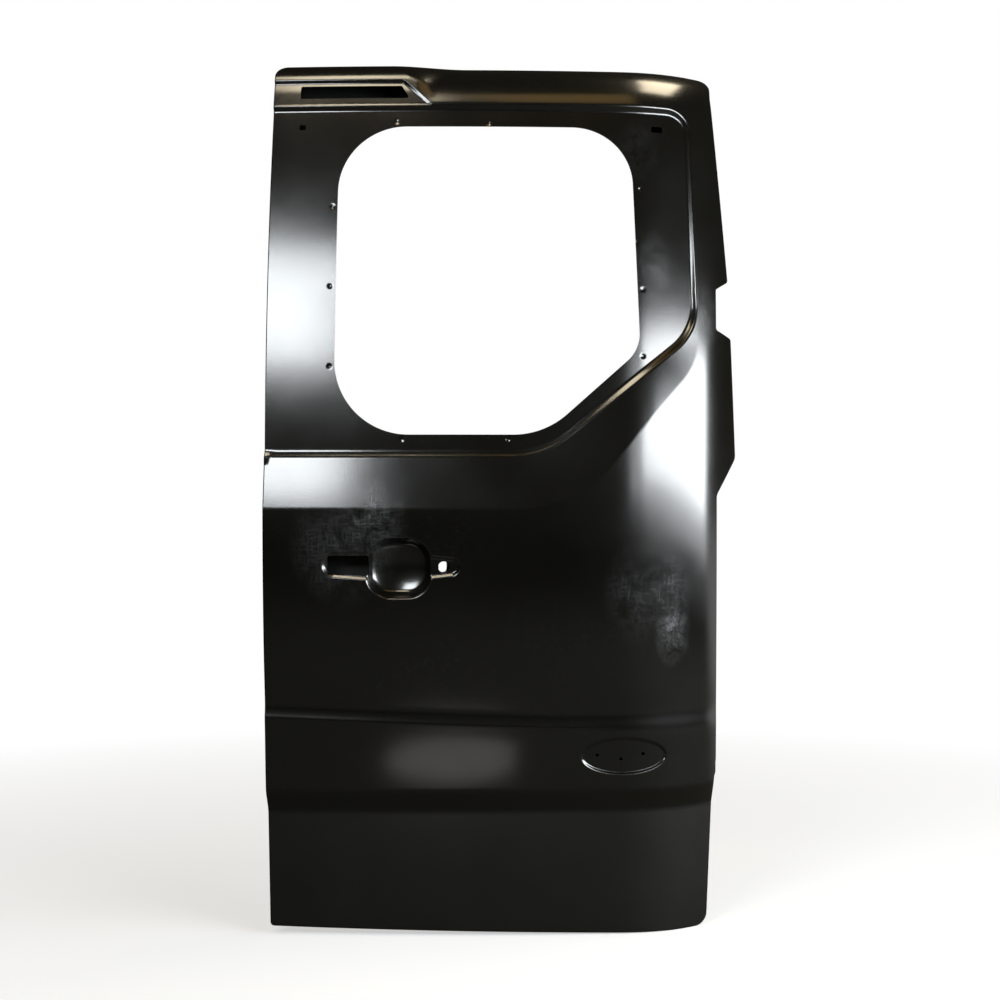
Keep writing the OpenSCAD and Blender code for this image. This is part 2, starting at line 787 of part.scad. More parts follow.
module latch_nuts() {
    color(nut_grey)
        weld_nuts(latch_at, 1, rail_t, four(latch_span, latch_pitch), latch_hole_r);
}

// Side view of the inner panel: upright behind the skirt, then parallel to the belly
function inner_y(z) = rise(belly_r, max(z, step_foot_z) - belly_z);
function inner_slope(z) = z < step_foot_z ? 0 : (z - belly_z) / belly_r;

// Bar bent to the plan of the face and tilted to its side view; its profile is [depth, height]
module face_bar(profile, x0, x1, z, y, slope) {
    from = asin(x0 / face_r);
    turn = asin(x1 / face_r) - from;
    translate([0, y, z])
        rotate([-atan(slope), 0, 0])
            translate([0, face_r, 0])
                rotate([0, 0, from - 90])
                    rotate_extrude(angle = turn, $fn = 360)
                        polygon([for (p = profile) [face_r - p[0], p[1]]]);
}
// Hat section, open to the side of its feet, with its crown at the given depth
function hat(foot, crown, half, lip, t, draft = 5) = let (s = sign(crown - foot)) [
    [foot, -half - lip],
    [foot, -half],
    [crown - s * t, -half + draft],
    [crown - s * t, half - draft],
    [foot, half],
    [foot, half + lip],
    [foot + s * t, half + lip],
    [foot + s * t, half + t],
    [crown, half - draft + t],
    [crown, -half + draft - t],
    [foot + s * t, -half - t],
    [foot + s * t, -half - lip]
];
// The beams are straight up and down, so they stand off the belly by its rise over their height
beam_half = 26;
beam_lip = 14;
belly_rise = 0.8;
beam_foot = skin_t + seal_gap + mastic_t + belly_rise;
module beam(z, crown) {
    profile = hat(beam_foot, beam_foot + crown, beam_half, beam_lip, rail_t);
    color(rail_black)
        face_bar(profile, 40, rail_end, z, side_y(z), side_slope(z));
}
// Dabs of mastic between the beam's feet and the skin
blob_w = 50;
blob_h = 10;
blob_z = 33;
blob_x = [for (i = [0:3]) mix(60, rail_end - 2.5 * blob_w, i / 3)];
module beam_mastic(z) {
    near = beam_foot - mastic_t;
    far = beam_foot - seal_gap / 2;
    color(mastic_grey)
        for (s = [-1, 1], x = blob_x) {
            low = s * blob_z - blob_h / 2;
            high = s * blob_z + blob_h / 2;
            face_bar([[near, low], [near, high], [far, high], [far, low]],
                x, x + blob_w, z, side_y(z), side_slope(z));
        }
}
band_beam_z = (band_low_z + band_top_z) / 2 - 0.5;
middle_beam_z = band_beam_z + 93;
upper_beam_z = band_beam_z + 186;
header_z = door_h - 48;
rail_z = window_z - 78;
sill_rail_z = 52;

// Three beams across the lower half, each with its own depth
module upper_beam() {
    beam(upper_beam_z, 26);
}
module middle_beam() {
    beam(middle_beam_z, 22);
}
module band_beam() {
    beam(band_beam_z, 24);
}
module upper_beam_mastic() {
    beam_mastic(upper_beam_z);
}
module middle_beam_mastic() {
    beam_mastic(middle_beam_z);
}
module band_beam_mastic() {
    beam_mastic(band_beam_z);
}

// Rails on the inner panel: above the window, below it and along the sill
module rail(z, depth, half, lip, x0, sealer = seal_gap) {
    foot = box_depth - sealer;
    color(rail_black)
        face_bar(hat(foot, foot - depth, half, lip, rail_t), x0, rail_end, z, inner_y(z), inner_slope(z));
}
module header_rail() {
    rail(header_z, 18, 11, 8, 280, 5 * seal_gap);
}
module waist_rail() {
    rail(rail_z, 22, 22, 12, 40);
}
module sill_rail() {
    rail(sill_rail_z, 16, 11, 8, 40);
}

// Pillars run up the side walls as arcs of the belly; profile is [x, y] in plan
module pillar(profile, z0, z1) {
    from = asin((z0 - belly_z) / belly_r);
    turn = asin((z1 - belly_z) / belly_r) - from;
    translate([0, belly_r, belly_z])
        multmatrix([[0, 0, 1, 0], [-1, 0, 0, 0], [0, -1, 0, 0], [0, 0, 0, 1]])
            rotate([0, 0, -from - turn])
                rotate_extrude(angle = turn, $fn = 360)
                    polygon([for (p = profile) [belly_r - p[1], p[0]]]);
}
module lock_pillar() {
    x = lock_wall + seal_gap;
    far = x + 42;
    near_y = 14;
    y = box_depth - 0.4;
    color(rail_black)
        pillar([
            [x, near_y], [x + rail_t, near_y], [x + rail_t, y - rail_t],
            [far, y - rail_t + 0.3], [far, y + 0.3], [x, y]
        ], step_foot_z + 30, latch_z - 70);
}

// Ring plate behind the handle, bent to the face
module handle_reinforcement() {
    near = skin_t + 2;
    far = near + rail_t;
    low = -58;
    high = 62;
    color(plate_black)
        difference() {
            face_bar([[near, low], [near, high], [far, high], [far, low]],
                bowl_x - 140, bowl_x + 125, bowl_z, side_y(bowl_z), side_slope(bowl_z));
            translate([bowl_x, 0, bowl_z])
                rotate([-90, 0, 0])
                    cylinder(r = bowl_w / 2 + 8, h = 60, $fn = 64);
            translate([bowl_x - 128, -10, bowl_z - 22])
                cube([90, 60, 56]);
            translate([bowl_x + 40, -10, bowl_z - 20])
                cube([62, 60, 44]);
        }
}

// The origin lies on the upper hinge seat, between its bolts
module on_seat() {
    translate([-(lower_wall + panel_t + pad_h), -hinge_y, -notch_z])
        children();
}

on_seat() outer_skin();
on_seat() inner_panel();
on_seat() header_rail();
on_seat() waist_rail();
on_seat() sill_rail();
on_seat() upper_beam();
on_seat() middle_beam();
on_seat() band_beam();
on_seat() upper_beam_mastic();
on_seat() middle_beam_mastic();
on_seat() band_beam_mastic();
on_seat() lock_pillar();
on_seat() handle_reinforcement();
on_seat() upper_hinge_plate();
on_seat() upper_hinge_nuts();
on_seat() lower_hinge_plate();
on_seat() lower_hinge_nuts();
on_seat() check_strap_plate();
on_seat() check_strap_nuts();
on_seat() latch_plate();
on_seat() latch_nuts();
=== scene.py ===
"""Looks of the rear barn door shell: the pressed skin and inner panel as fine meshes, primer paint, studio."""

import math

import bpy
import numpy as np
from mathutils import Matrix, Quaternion, Vector
from mathutils.geometry import delaunay_2d_cdt


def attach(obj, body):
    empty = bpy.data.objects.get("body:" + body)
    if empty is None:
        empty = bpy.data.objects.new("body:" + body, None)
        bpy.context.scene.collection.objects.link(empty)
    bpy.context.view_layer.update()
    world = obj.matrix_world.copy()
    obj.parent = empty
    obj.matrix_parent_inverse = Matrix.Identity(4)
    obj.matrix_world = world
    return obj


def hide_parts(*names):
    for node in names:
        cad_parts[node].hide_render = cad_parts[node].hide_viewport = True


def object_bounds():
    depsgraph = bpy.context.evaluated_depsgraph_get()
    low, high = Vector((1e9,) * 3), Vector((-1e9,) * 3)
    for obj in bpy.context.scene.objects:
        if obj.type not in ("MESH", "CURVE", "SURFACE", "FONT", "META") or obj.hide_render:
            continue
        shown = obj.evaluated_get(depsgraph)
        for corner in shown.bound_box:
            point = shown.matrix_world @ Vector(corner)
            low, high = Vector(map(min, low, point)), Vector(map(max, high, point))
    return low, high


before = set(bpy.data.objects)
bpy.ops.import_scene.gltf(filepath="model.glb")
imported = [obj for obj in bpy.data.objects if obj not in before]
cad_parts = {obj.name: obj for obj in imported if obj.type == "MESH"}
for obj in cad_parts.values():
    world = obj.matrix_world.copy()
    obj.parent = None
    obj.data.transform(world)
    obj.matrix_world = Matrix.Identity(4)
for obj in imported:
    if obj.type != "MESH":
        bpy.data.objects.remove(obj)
cad_low, cad_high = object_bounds()

# Sizes of the door in mm. The window's foot, the band's upper line and the bowl lie 3 to 12 mm higher than in the
# CAD, to match the camera's view.
SEAT = np.array([728.2, 188.0, 1029.0])  # the upper hinge seat, seen from the foot of the meeting edge
DOOR_H, LOWER_W, CHEEK_W, TOP_W, SILL_W, SILL_RISE, EDGE_R = 1436, 732, 767, 726, 717, 15, 20
CHEEK_FOOT_Z, NOTCH_Z, NOTCH_H, NOTCH_IN = 720, 1029, 68, 22
SKIN_T, PANEL_T, GAP, HEM_W, BOX = 1.0, 1.2, 0.3, 11, 50
FACE_R, CHEEK_R, CHEEK_X, BELLY_R, BELLY_Z = 3800, 250, 574, 2750, 700
BAND_TOP, BAND_LOW, STEP_FOOT, BAND_LIP, BAND_SWELL, SKIRT_LEAN, BAND_FADE = 356, 241, 208, 5, 13, 5, 26
WIN_W, WIN_H, WIN_X, WIN_Z, BROW, FOOT, JAMB = 492, 509, 112, 817, 27, 26, 85
GLASS_SET, GLASS_Z, WALL_W, WAIST_Z, SHOULDER = 17, 740, 10, 698, 0.143
BOWL = (218, 603, 103, 95, 25)
OVAL = (577, 298.5, 139, 61, 3)
BOWL_CORNER, BOWL_DISH = 38, 0.72
WINGS = [((-102, 6), (-40, 4), 21, 24), ((83, 2), (40, 2), 15, 20)]  # two ends from the bowl's middle, radii there
WING_DEPTH, DIMPLE_DEPTH, DIMPLE_R, SEAT_DEPTH, SEAT_SLOPE = 4, 0.9, 5, 2.5, 6
LATE_ROLL, EARLY_ROLL, LAMP_ROLL, ROLL_ROWS_Z = (1407, 34), (1363, 86), (1384, 80), 1372.2
PANEL_BEND, FOOT_BEND, WELL_OUT = 6.0, 3, 16
DIP_SLOPE, DIP_LEVEL, DIP_END, FADE_START, FADE_LENGTH = 0.034, 200, 470, 430, 170  # the band's upper line, along x
BLEND_HALF, BLEND_GROWTH, BLEND_FROM, BLEND_LEFT = 17, 1.5, 1405, 9  # where the early roll takes over from the late
LAMP_END, LAMP_TOP_END, LAMP_LOW, LAMP_TOP = 262, 216, WIN_Z + WIN_H + BROW + WALL_W - 6, DOOR_H - 30


def row(p):
    """Door millimetres to the frame's metres."""
    return (np.asarray(p, float) - SEAT) / 1000


# The pressed surface.
def ease(x, e):
    """Nought below, x above, rounded over a width e."""
    return np.where(x <= -e / 2, 0.0, np.where(x >= e / 2, x, (x + e / 2) ** 2 / (2 * e)))


def rise(r, d):
    """How far a circle of radius r falls back at a distance d from its top."""
    return r - np.sqrt(np.maximum(r * r - d * d, 1e-6))


def bent_plan(offset=0.0, last=math.radians(80)):
    """x and y of the face's plan, with an eased start of the cheek; offset goes inward."""
    ds = 0.5
    s = np.arange(-120, 1100, ds)
    k = np.where(s < FACE_R * math.asin(CHEEK_X / FACE_R), 1 / FACE_R, 1 / CHEEK_R)
    k = np.convolve(np.pad(k, 50, "edge"), np.ones(101) / 101, "valid")
    turn = np.minimum(np.cumsum(k) * ds, last + 1)
    turn = np.minimum(turn - np.interp(0, s, turn), last)
    x = np.cumsum(np.cos(turn)) * ds
    y = np.cumsum(np.sin(turn)) * ds
    x, y = x - np.interp(0, s, x), y - np.interp(0, s, y)
    return x - offset * np.sin(turn), y + offset * np.cos(turn), turn


PLAN_X, PLAN_Y, PLAN_TURN = bent_plan()
IN_X, IN_Y, _ = bent_plan(BOX + PANEL_T, math.radians(48))


def plan(x):
    """The face's plan: how far it lies back at x."""
    return np.interp(x, PLAN_X, PLAN_Y)


def box_filter(v, n):
    """Running mean over n samples to each side."""
    return np.convolve(np.pad(v, n, "edge"), np.ones(2 * n + 1) / (2 * n + 1), "valid")


def side_table():
    """Side view of the face from below the sill to over the crown, creases rounded."""
    z = np.arange(-80, 1520, 0.25)
    belly = rise(BELLY_R, z - BELLY_Z)
    skirt = rise(BELLY_R, STEP_FOOT - BELLY_Z)
    rows = [
        (-80, skirt + (STEP_FOOT + 80) * math.tan(math.radians(SKIRT_LEAN))),
        (STEP_FOOT, skirt),
        (BAND_LOW, rise(BELLY_R, BAND_LOW - BELLY_Z) - BAND_SWELL),
        (BAND_TOP, rise(BELLY_R, BAND_TOP - BELLY_Z) - BAND_LIP),
    ]
    low = np.interp(z, [r[0] for r in rows], [r[1] for r in rows])
    lip = BAND_LIP * np.clip(1 - (z - BAND_TOP) / BAND_FADE, 0, 1) ** 2
    y = np.where(z < BAND_TOP, low, belly - lip)
    soft = box_filter(box_filter(y, 7), 7)
    y = np.where((z > 150) & (z < 430), soft, y)
    lower = box_filter(box_filter(y, 16), 16)
    blend = np.clip((BAND_LOW + 26 - z) / 20, 0, 1)
    y = y + (lower - y) * np.where((z > 120) & (z < 300), blend, 0)
    return z, y, box_filter(box_filter(y, 40), 40)


SIDE_Z, SIDE_Y, SIDE_SOFT = side_table()


def roll(z, start, r):
    """How far a roll of radius r has turned back above its start."""
    return rise(r, np.minimum(ease(z - start, 8), r - 2))


def smooth(t):
    """Nought to one with level ends."""
    t = np.clip(t, 0, 1)
    return t * t * (3 - 2 * t)


def belly(x, z):
    """The face before the roll along its top. The band's upper line dips a little and fades to the right."""
    x, z = np.asarray(x, float), np.asarray(z, float)
    near_band = smooth((z - 290) / 45) * smooth((460 - z) / 60)
    dip = DIP_SLOPE * (np.clip(x, 0, DIP_END) - DIP_LEVEL) * near_band
    fade = smooth((x - FADE_START) / FADE_LENGTH) * smooth((z - 325) / 20)
    crisp, soft = np.interp(z + dip, SIDE_Z, SIDE_Y), np.interp(z + dip, SIDE_Z, SIDE_SOFT)
    return plan(x) + crisp + (soft - crisp) * fade


def face(x, z):
    """The whole face; beside the lamp seat the roll starts lower and turns more slowly."""
    late, early = roll(z, *LATE_ROLL), roll(z, *EARLY_ROLL)
    wide = BLEND_HALF + BLEND_GROWTH * np.maximum(np.asarray(z, float) - BLEND_FROM, 0)
    return belly(x, z) + late + (early - late) * smooth((x - LAMP_END + BLEND_LEFT + wide) / (2 * wide))


# Outlines with rounded corners, given as x, z and rounding.
def arc(a, p, b, n):
    """Points round the corner p between the corners a and b."""
    o = np.array(p[:2], float)
    u = np.array(a[:2], float) - o
    v = np.array(b[:2], float) - o
    u, v = u / np.linalg.norm(u), v / np.linalg.norm(v)
    half = math.acos(float(np.clip(u @ v, -1, 1))) / 2
    w = (u + v) / np.linalg.norm(u + v)
    c = o + w * p[2] / math.sin(half)
    s, e = o + u * p[2] / math.tan(half) - c, o + v * p[2] / math.tan(half) - c
    a0 = math.atan2(s[1], s[0])
    turn = (math.atan2(e[1], e[0]) - a0 + 5 * math.pi) % (2 * math.pi) - math.pi
    return [c + p[2] * np.array([math.cos(a0 + turn * i / n), math.sin(a0 + turn * i / n)]) for i in range(n + 1)]


def outline(cs, n=30):
    """A closed line through corners, each rounded by n pieces."""
    pts = []
    for i, c in enumerate(cs):
        pts += [np.array(c[:2], float)] if c[2] == 0 else arc(cs[i - 1], c, cs[(i + 1) % len(cs)], n)
    return np.array(pts)


def grown(cs, d):
    """Corners of the outline that runs a distance d outside a given one."""

    def normal(a, b):
        t = np.array(b[:2], float) - np.array(a[:2], float)
        t /= np.linalg.norm(t)
        return np.array([t[1], -t[0]])

    out = []
    for i, c in enumerate(cs):
        a, b = normal(cs[i - 1], c), normal(c, cs[(i + 1) % len(cs)])
        v = (a + b) / (1 + a @ b) * d
        bend = a[0] * b[1] - a[1] * b[0]
        out.append((c[0] + v[0], c[1] + v[1], 0 if c[2] == 0 else max(c[2] + (d if bend > 0 else -d), 0.5)))
    return out


def resample(pts, step):
    """A closed line with points about step apart, its own corners kept."""
    out = []
    for a, b in zip(pts, np.roll(pts, -1, 0)):
        n = max(1, round(float(np.linalg.norm(b - a)) / step))
        out += [a + (b - a) * k / n for k in range(n)]
    keep = [out[0]]
    for p in out[1:]:
        if np.linalg.norm(p - keep[-1]) > 0.35 * step:
            keep.append(p)
    if np.linalg.norm(keep[-1] - keep[0]) < 0.35 * step:
        keep.pop()
    return np.array(keep)


def inside(px, pz, pts):
    """Whether points lie within a closed line."""
    hit = np.zeros(px.shape, bool)
    for (ax, az), (bx, bz) in zip(pts, np.roll(pts, -1, 0)):
        if az != bz:
            cross = (az > pz) != (bz > pz)
            hit ^= cross & (px < (bx - ax) * (pz - az) / (bz - az) + ax)
    return hit


def sdf(px, pz, pts):
    """Distance to a closed line, negative within."""
    px, pz = np.asarray(px, float), np.asarray(pz, float)
    best = np.full(px.shape, 1e9)
    for a, b in zip(pts, np.roll(pts, -1, 0)):
        d = b - a
        n = d @ d
        if n < 1e-9:
            continue
        t = np.clip(((px - a[0]) * d[0] + (pz - a[1]) * d[1]) / n, 0, 1)
        best = np.minimum(best, (px - a[0] - t * d[0]) ** 2 + (pz - a[1] - t * d[1]) ** 2)
    return np.where(inside(px, pz, pts), -1, 1) * np.sqrt(best)


LEFT = -60
foot_c = [
    (LEFT, WIN_Z - FOOT, 0), (WIN_X + 334, WIN_Z - FOOT, 140), (WIN_X + WIN_W + JAMB, WIN_Z + 174, 90),
    (WIN_X + WIN_W + JAMB - 12, WIN_Z + WIN_H + BROW, 30), (LEFT, WIN_Z + WIN_H + BROW, 0),
]
brow_c = grown(foot_c, WALL_W)
waist_c = [
    (LEFT - WALL_W, WAIST_Z, 0), (WIN_X + 387, WAIST_Z, 210), (brow_c[2][0] + 1, WAIST_Z + 240, 110),
    (brow_c[3][0] + 1, brow_c[3][1] + 1, brow_c[3][2]), (LEFT - WALL_W, brow_c[4][1] + 1, 0),
]
window_c = [
    (WIN_X, WIN_Z, 120), (WIN_X + 337, WIN_Z, 130), (WIN_X + WIN_W, WIN_Z + 139, 60),
    (WIN_X + WIN_W - 16, WIN_Z + WIN_H, 100), (WIN_X, WIN_Z + WIN_H, 110),
]
notch_hi, notch_lo = NOTCH_Z + NOTCH_H / 2, NOTCH_Z - NOTCH_H / 2
door_c = [
    (0, SILL_RISE, 6), (SILL_W - 60, 0, 40), (SILL_W, 0, EDGE_R), (SILL_W + 8, STEP_FOOT, 60),
    (LOWER_W, BAND_LOW + 40, 60), (LOWER_W, CHEEK_FOOT_Z, 20), (CHEEK_W, CHEEK_FOOT_Z + 62, 20),
    (CHEEK_W - 8, notch_lo - 12, 6), (LOWER_W, notch_lo, 6), (LOWER_W, notch_hi, 6),
    (LOWER_W + NOTCH_IN, notch_hi + 16, 6), (TOP_W, DOOR_H - 40, 60), (TOP_W, DOOR_H, EDGE_R), (0, DOOR_H, EDGE_R),
]
box_c = [
    (14, SILL_RISE + 14, 12), (SILL_W - 5, 14, 12), (SILL_W - 5, STEP_FOOT + 20, 12),
    (LOWER_W - 6, STEP_FOOT + 50, 12),
    (LOWER_W - 6, CHEEK_FOOT_Z + 14, 12), (CHEEK_W - 18, CHEEK_FOOT_Z + 70, 12), (CHEEK_W - 18, notch_lo - 24, 8),
    (LOWER_W - 6, notch_lo - 10, 8), (LOWER_W - 6, notch_hi + 10, 8), (LOWER_W + NOTCH_IN - 7, notch_hi + 26, 8),
    (TOP_W - 6, DOOR_H - 44, 30), (TOP_W - 6, DOOR_H - 7, 14), (14, DOOR_H - 7, 12),
]
lamp_c = [
    (LEFT, LAMP_LOW, 0), (LAMP_END, LAMP_LOW, 0), (LAMP_END, LAMP_LOW + 9, 6), (LAMP_TOP_END, LAMP_TOP, 8),
    (LEFT, LAMP_TOP, 0),
]
FOOT_LINE, WAIST_LINE, LAMP_LINE = outline(foot_c), outline(waist_c), outline(lamp_c)
WINDOW_LINE, DOOR_LINE, BOX_LINE = outline(window_c), outline(door_c, 12), outline(box_c, 12)
DIMPLES = [
    (104, 1190), (103, 1058), (104, 927), (205, 1334), (355, 1331), (603, 1221), (597, 1131), (608, 1054),
    (608, 945), (221, 809), (391, 809),
]


def rounded(x, z, cx, cz, hx, hz, r):
    """Distance to a rounded box, negative within."""
    qx, qz = np.abs(x - cx) - hx + r, np.abs(z - cz) - hz + r
    return np.hypot(np.maximum(qx, 0), np.maximum(qz, 0)) + np.minimum(np.maximum(qx, qz), 0) - r


def capsule(x, z, p, q, rp, rq):
    """Distance to a tapered slot, negative within."""
    d = np.array(q, float) - np.array(p, float)
    t = np.clip(((x - p[0]) * d[0] + (z - p[1]) * d[1]) / (d @ d), 0, 1)
    return np.hypot(x - p[0] - t * d[0], z - p[1] - t * d[1]) - (rp + (rq - rp) * t)


def oval(x, z):
    """About the distance to the oval seat's edge, negative within."""
    u, v = (x - OVAL[0]) / (OVAL[2] / 2), (z - OVAL[1]) / (OVAL[3] / 2)
    k = np.hypot(u, v)
    g = np.hypot(u / (OVAL[2] / 2), v / (OVAL[3] / 2))
    return np.where(k < 1e-3, -OVAL[3] / 2, k * (k - 1) / np.maximum(g, 1e-9))


def bowl_parts(x, z):
    """Distances to the finger bowl and to its two wings, negative within."""
    cx, cz = BOWL[:2]
    wings = [capsule(x, z, (cx + p[0], cz + p[1]), (cx + q[0], cz + q[1]), rp, rq) for p, q, rp, rq in WINGS]
    return [rounded(x, z, cx, cz, BOWL[2] / 2, BOWL[3] / 2, BOWL_CORNER)] + wings


def soft_max(*values):
    """The largest of some depths, blended where two are alike."""
    return sum(np.maximum(v, 0) ** 4 for v in values) ** 0.25


def window_depth(x, z):
    """How far the recess and the lamp seat lie below the face."""
    y = face(x, z)
    floor = plan(x) + GLASS_SET + rise(BELLY_R, z - GLASS_Z)
    foot = sdf(x, z, FOOT_LINE)
    sunk = SHOULDER * ease(-sdf(x, z, WAIST_LINE), 5)
    wall = (ease(foot, 5) - ease(foot - WALL_W, 5)) / WALL_W
    recess = floor - y + (sunk - floor + y) * wall
    lamp = -sdf(x, z, LAMP_LINE)
    seat = belly(x, z) + SEAT_DEPTH + roll(z, *LAMP_ROLL) - y
    slope = (ease(lamp, 1.8) - ease(lamp - SEAT_SLOPE, 1.8)) / SEAT_SLOPE
    return soft_max(recess, np.maximum(seat, 1.0) * slope)


def flange_face(x, z):
    """The face without bowl and oval, which the panel's flanges follow."""
    x, z = np.asarray(x, float), np.asarray(z, float)
    y = face(x, z) + window_depth(x, z)
    for p in DIMPLES:
        y = y + DIMPLE_DEPTH * np.maximum(1 - ((x - p[0]) ** 2 + (z - p[1]) ** 2) / DIMPLE_R**2, 0) ** 2
    return y


def skin_face(x, z):
    """The outer skin's outside, with everything that is pressed into it."""
    y = flange_face(x, z)
    b, left, right = bowl_parts(x, z)
    t = np.clip(ease(-b, 5) / 12, 0, 1)
    round_out = ((x - BOWL[0]) / (BOWL[2] / 2)) ** 2 + ((z - BOWL[1]) / (BOWL[3] / 2)) ** 2
    bowl = BOWL[4] * (1 - (1 - t) ** 2) ** 0.8 * np.sqrt(np.maximum(1 - BOWL_DISH * round_out, 0.05))
    wings = [WING_DEPTH * (ease(-w, 3) - ease(-w - 5, 3)) / 5 for w in (left, right)]
    o = -oval(x, z)
    return y + soft_max(bowl, *wings) + OVAL[4] * (ease(o, 3) - ease(o - 4, 3)) / 4


def inner_face(x, z):
    """Outer side of the boxed inner panel."""
    return np.interp(x, IN_X, IN_Y) + rise(BELLY_R - BOX, np.maximum(z, STEP_FOOT) - BELLY_Z)


def normals_of(f, x, z, h=0.4):
    """Unit normals towards the outside of the van."""
    gx = (f(x + h, z) - f(x - h, z)) / (2 * h)
    gz = (f(x, z + h) - f(x, z - h)) / (2 * h)
    n = np.stack([gx, -np.ones_like(gx), gz], -1)
    return n / np.linalg.norm(n, axis=-1, keepdims=True)


# Meshing.
class Sheet:
    """Vertices, normals and faces gathered into one mesh."""

    def __init__(self):
        self.v, self.n, self.f, self.count = [], [], [], 0

    def add(self, verts, normals, faces):
        self.v.append(np.asarray(verts, float))
        self.n.append(np.asarray(normals, float))
        self.f += [tuple(int(i) + self.count for i in f) for f in faces]
        self.count += len(verts)

    def ribbon(self, rings, normals, closed=True):
        n = len(rings[0])
        faces = []
        for k in range(len(rings) - 1):
            for i in range(n if closed else n - 1):
                j = (i + 1) % n
                faces.append((k * n + i, k * n + j, (k + 1) * n + j, (k + 1) * n + i))
        self.add(np.concatenate(rings), np.concatenate(normals), faces)

    def object(self, name, material, replaced):
        me = bpy.data.meshes.new(name)
        me.from_pydata(row(np.concatenate(self.v)).tolist(), [], self.f)
        me.shade_smooth()
        me.normals_split_custom_set_from_vertices(np.concatenate(self.n).tolist())
        me.validate()
        ob = bpy.data.objects.new(name, me)
        bpy.context.scene.collection.objects.link(ob)
        me.materials.append(material)
        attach(ob, "root")
        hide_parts(replaced)
        return ob


def thin(groups):
    """Points of all groups in turn, each kept only where no earlier one is nearer than its group's gap."""
    cell, grid, out = 3.0, {}, []
    for pts, gap in groups:
        reach = int(math.ceil(gap / cell))
        for x, z in pts:
            i, j = int(x // cell), int(z // cell)
            near = any(
                (qx - x) ** 2 + (qz - z) ** 2 < gap * gap
                for a in range(i - reach, i + reach + 1)
                for b in range(j - reach, j + reach + 1)
                for qx, qz in grid.get((a, b), ())
            )
            if not near:
                grid.setdefault((i, j), []).append((x, z))
                out.append((x, z))
    return out


def triangulate(rim, holes, groups):
    """Triangles over a region with holes; rims come first among the points and stay as given."""
    fixed, edges = [], []
    for line in [rim] + holes:
        k = len(fixed)
        fixed += [tuple(p) for p in line]
        edges += [(k + i, k + (i + 1) % len(line)) for i in range(len(line))]
    loose = []
    for pts, gap in groups:
        pts = np.asarray(pts, float).reshape(-1, 2)
        ok = inside(pts[:, 0], pts[:, 1], rim)
        for line in holes:
            ok &= ~inside(pts[:, 0], pts[:, 1], line)
        loose.append((pts[ok], gap))
    pts = thin([(fixed, 0.0)] + loose)
    co, _, tris, *_ = delaunay_2d_cdt([Vector(p) for p in pts], edges, [], 0, 1e-5)
    co = np.array([tuple(p) for p in co])
    tris = np.array([t for t in tris if len(t) == 3])
    mid = co[tris].mean(1)
    ok = inside(mid[:, 0], mid[:, 1], rim)
    for line in holes:
        ok &= ~inside(mid[:, 0], mid[:, 1], line)
    tris = tris[ok]
    a, b, c = co[tris[:, 0]], co[tris[:, 1]], co[tris[:, 2]]
    area = (b[:, 0] - a[:, 0]) * (c[:, 1] - a[:, 1]) - (b[:, 1] - a[:, 1]) * (c[:, 0] - a[:, 0])
    tris = tris[np.abs(area) > 1e-4]
    area = area[np.abs(area) > 1e-4]
    tris[area < 0] = tris[area < 0][:, ::-1]
    return co, tris


def box_corners(x, z, half_x, half_z, r):
    """Corners of an upright rectangle about a point."""
    return [(x - half_x, z - half_z, r), (x + half_x, z - half_z, r),
            (x + half_x, z + half_z, r), (x - half_x, z + half_z, r)]


def lines_about(cs, offsets, step):
    """Points on the outlines that run at some distances from a given one."""
    return np.concatenate([resample(outline(grown(cs, d)), step) for d in offsets])


def circle(x, z, rx, rz, n):
    """n points on a circle or ellipse."""
    a = np.arange(n) * 2 * math.pi / n
    return np.stack([x + rx * np.cos(a), z + rz * np.sin(a)], -1)


def rows_of(zs, step, x0=-5, x1=775):
    """Points in level rows, every second row shifted by half a step."""
    return np.array([(x, z) for i, z in enumerate(zs) for x in np.arange(x0 + (i % 2) * step / 2, x1, step)])


def plain_grid(step_x, step_z, x0, x1, z0, z1):
    return rows_of(np.arange(z0, z1, step_z), step_x, x0, x1)


def rim_normals(line):
    """Unit normals of a closed anticlockwise line, away from what it bounds."""
    t = np.roll(line, -1, 0) - np.roll(line, 1, 0)
    t /= np.linalg.norm(t, axis=1, keepdims=True)
    return np.stack([t[:, 1], -t[:, 0]], -1)


def outward(line):
    """The same normals in the door's three axes."""
    flat = rim_normals(line)
    return np.stack([flat[:, 0], np.zeros(len(line)), flat[:, 1]], -1)


def on_face(f, line):
    """Points of a line put on a face, and the face's normals there."""
    y = f(line[:, 0], line[:, 1])
    return np.stack([line[:, 0], y, line[:, 1]], -1), normals_of(f, line[:, 0], line[:, 1])


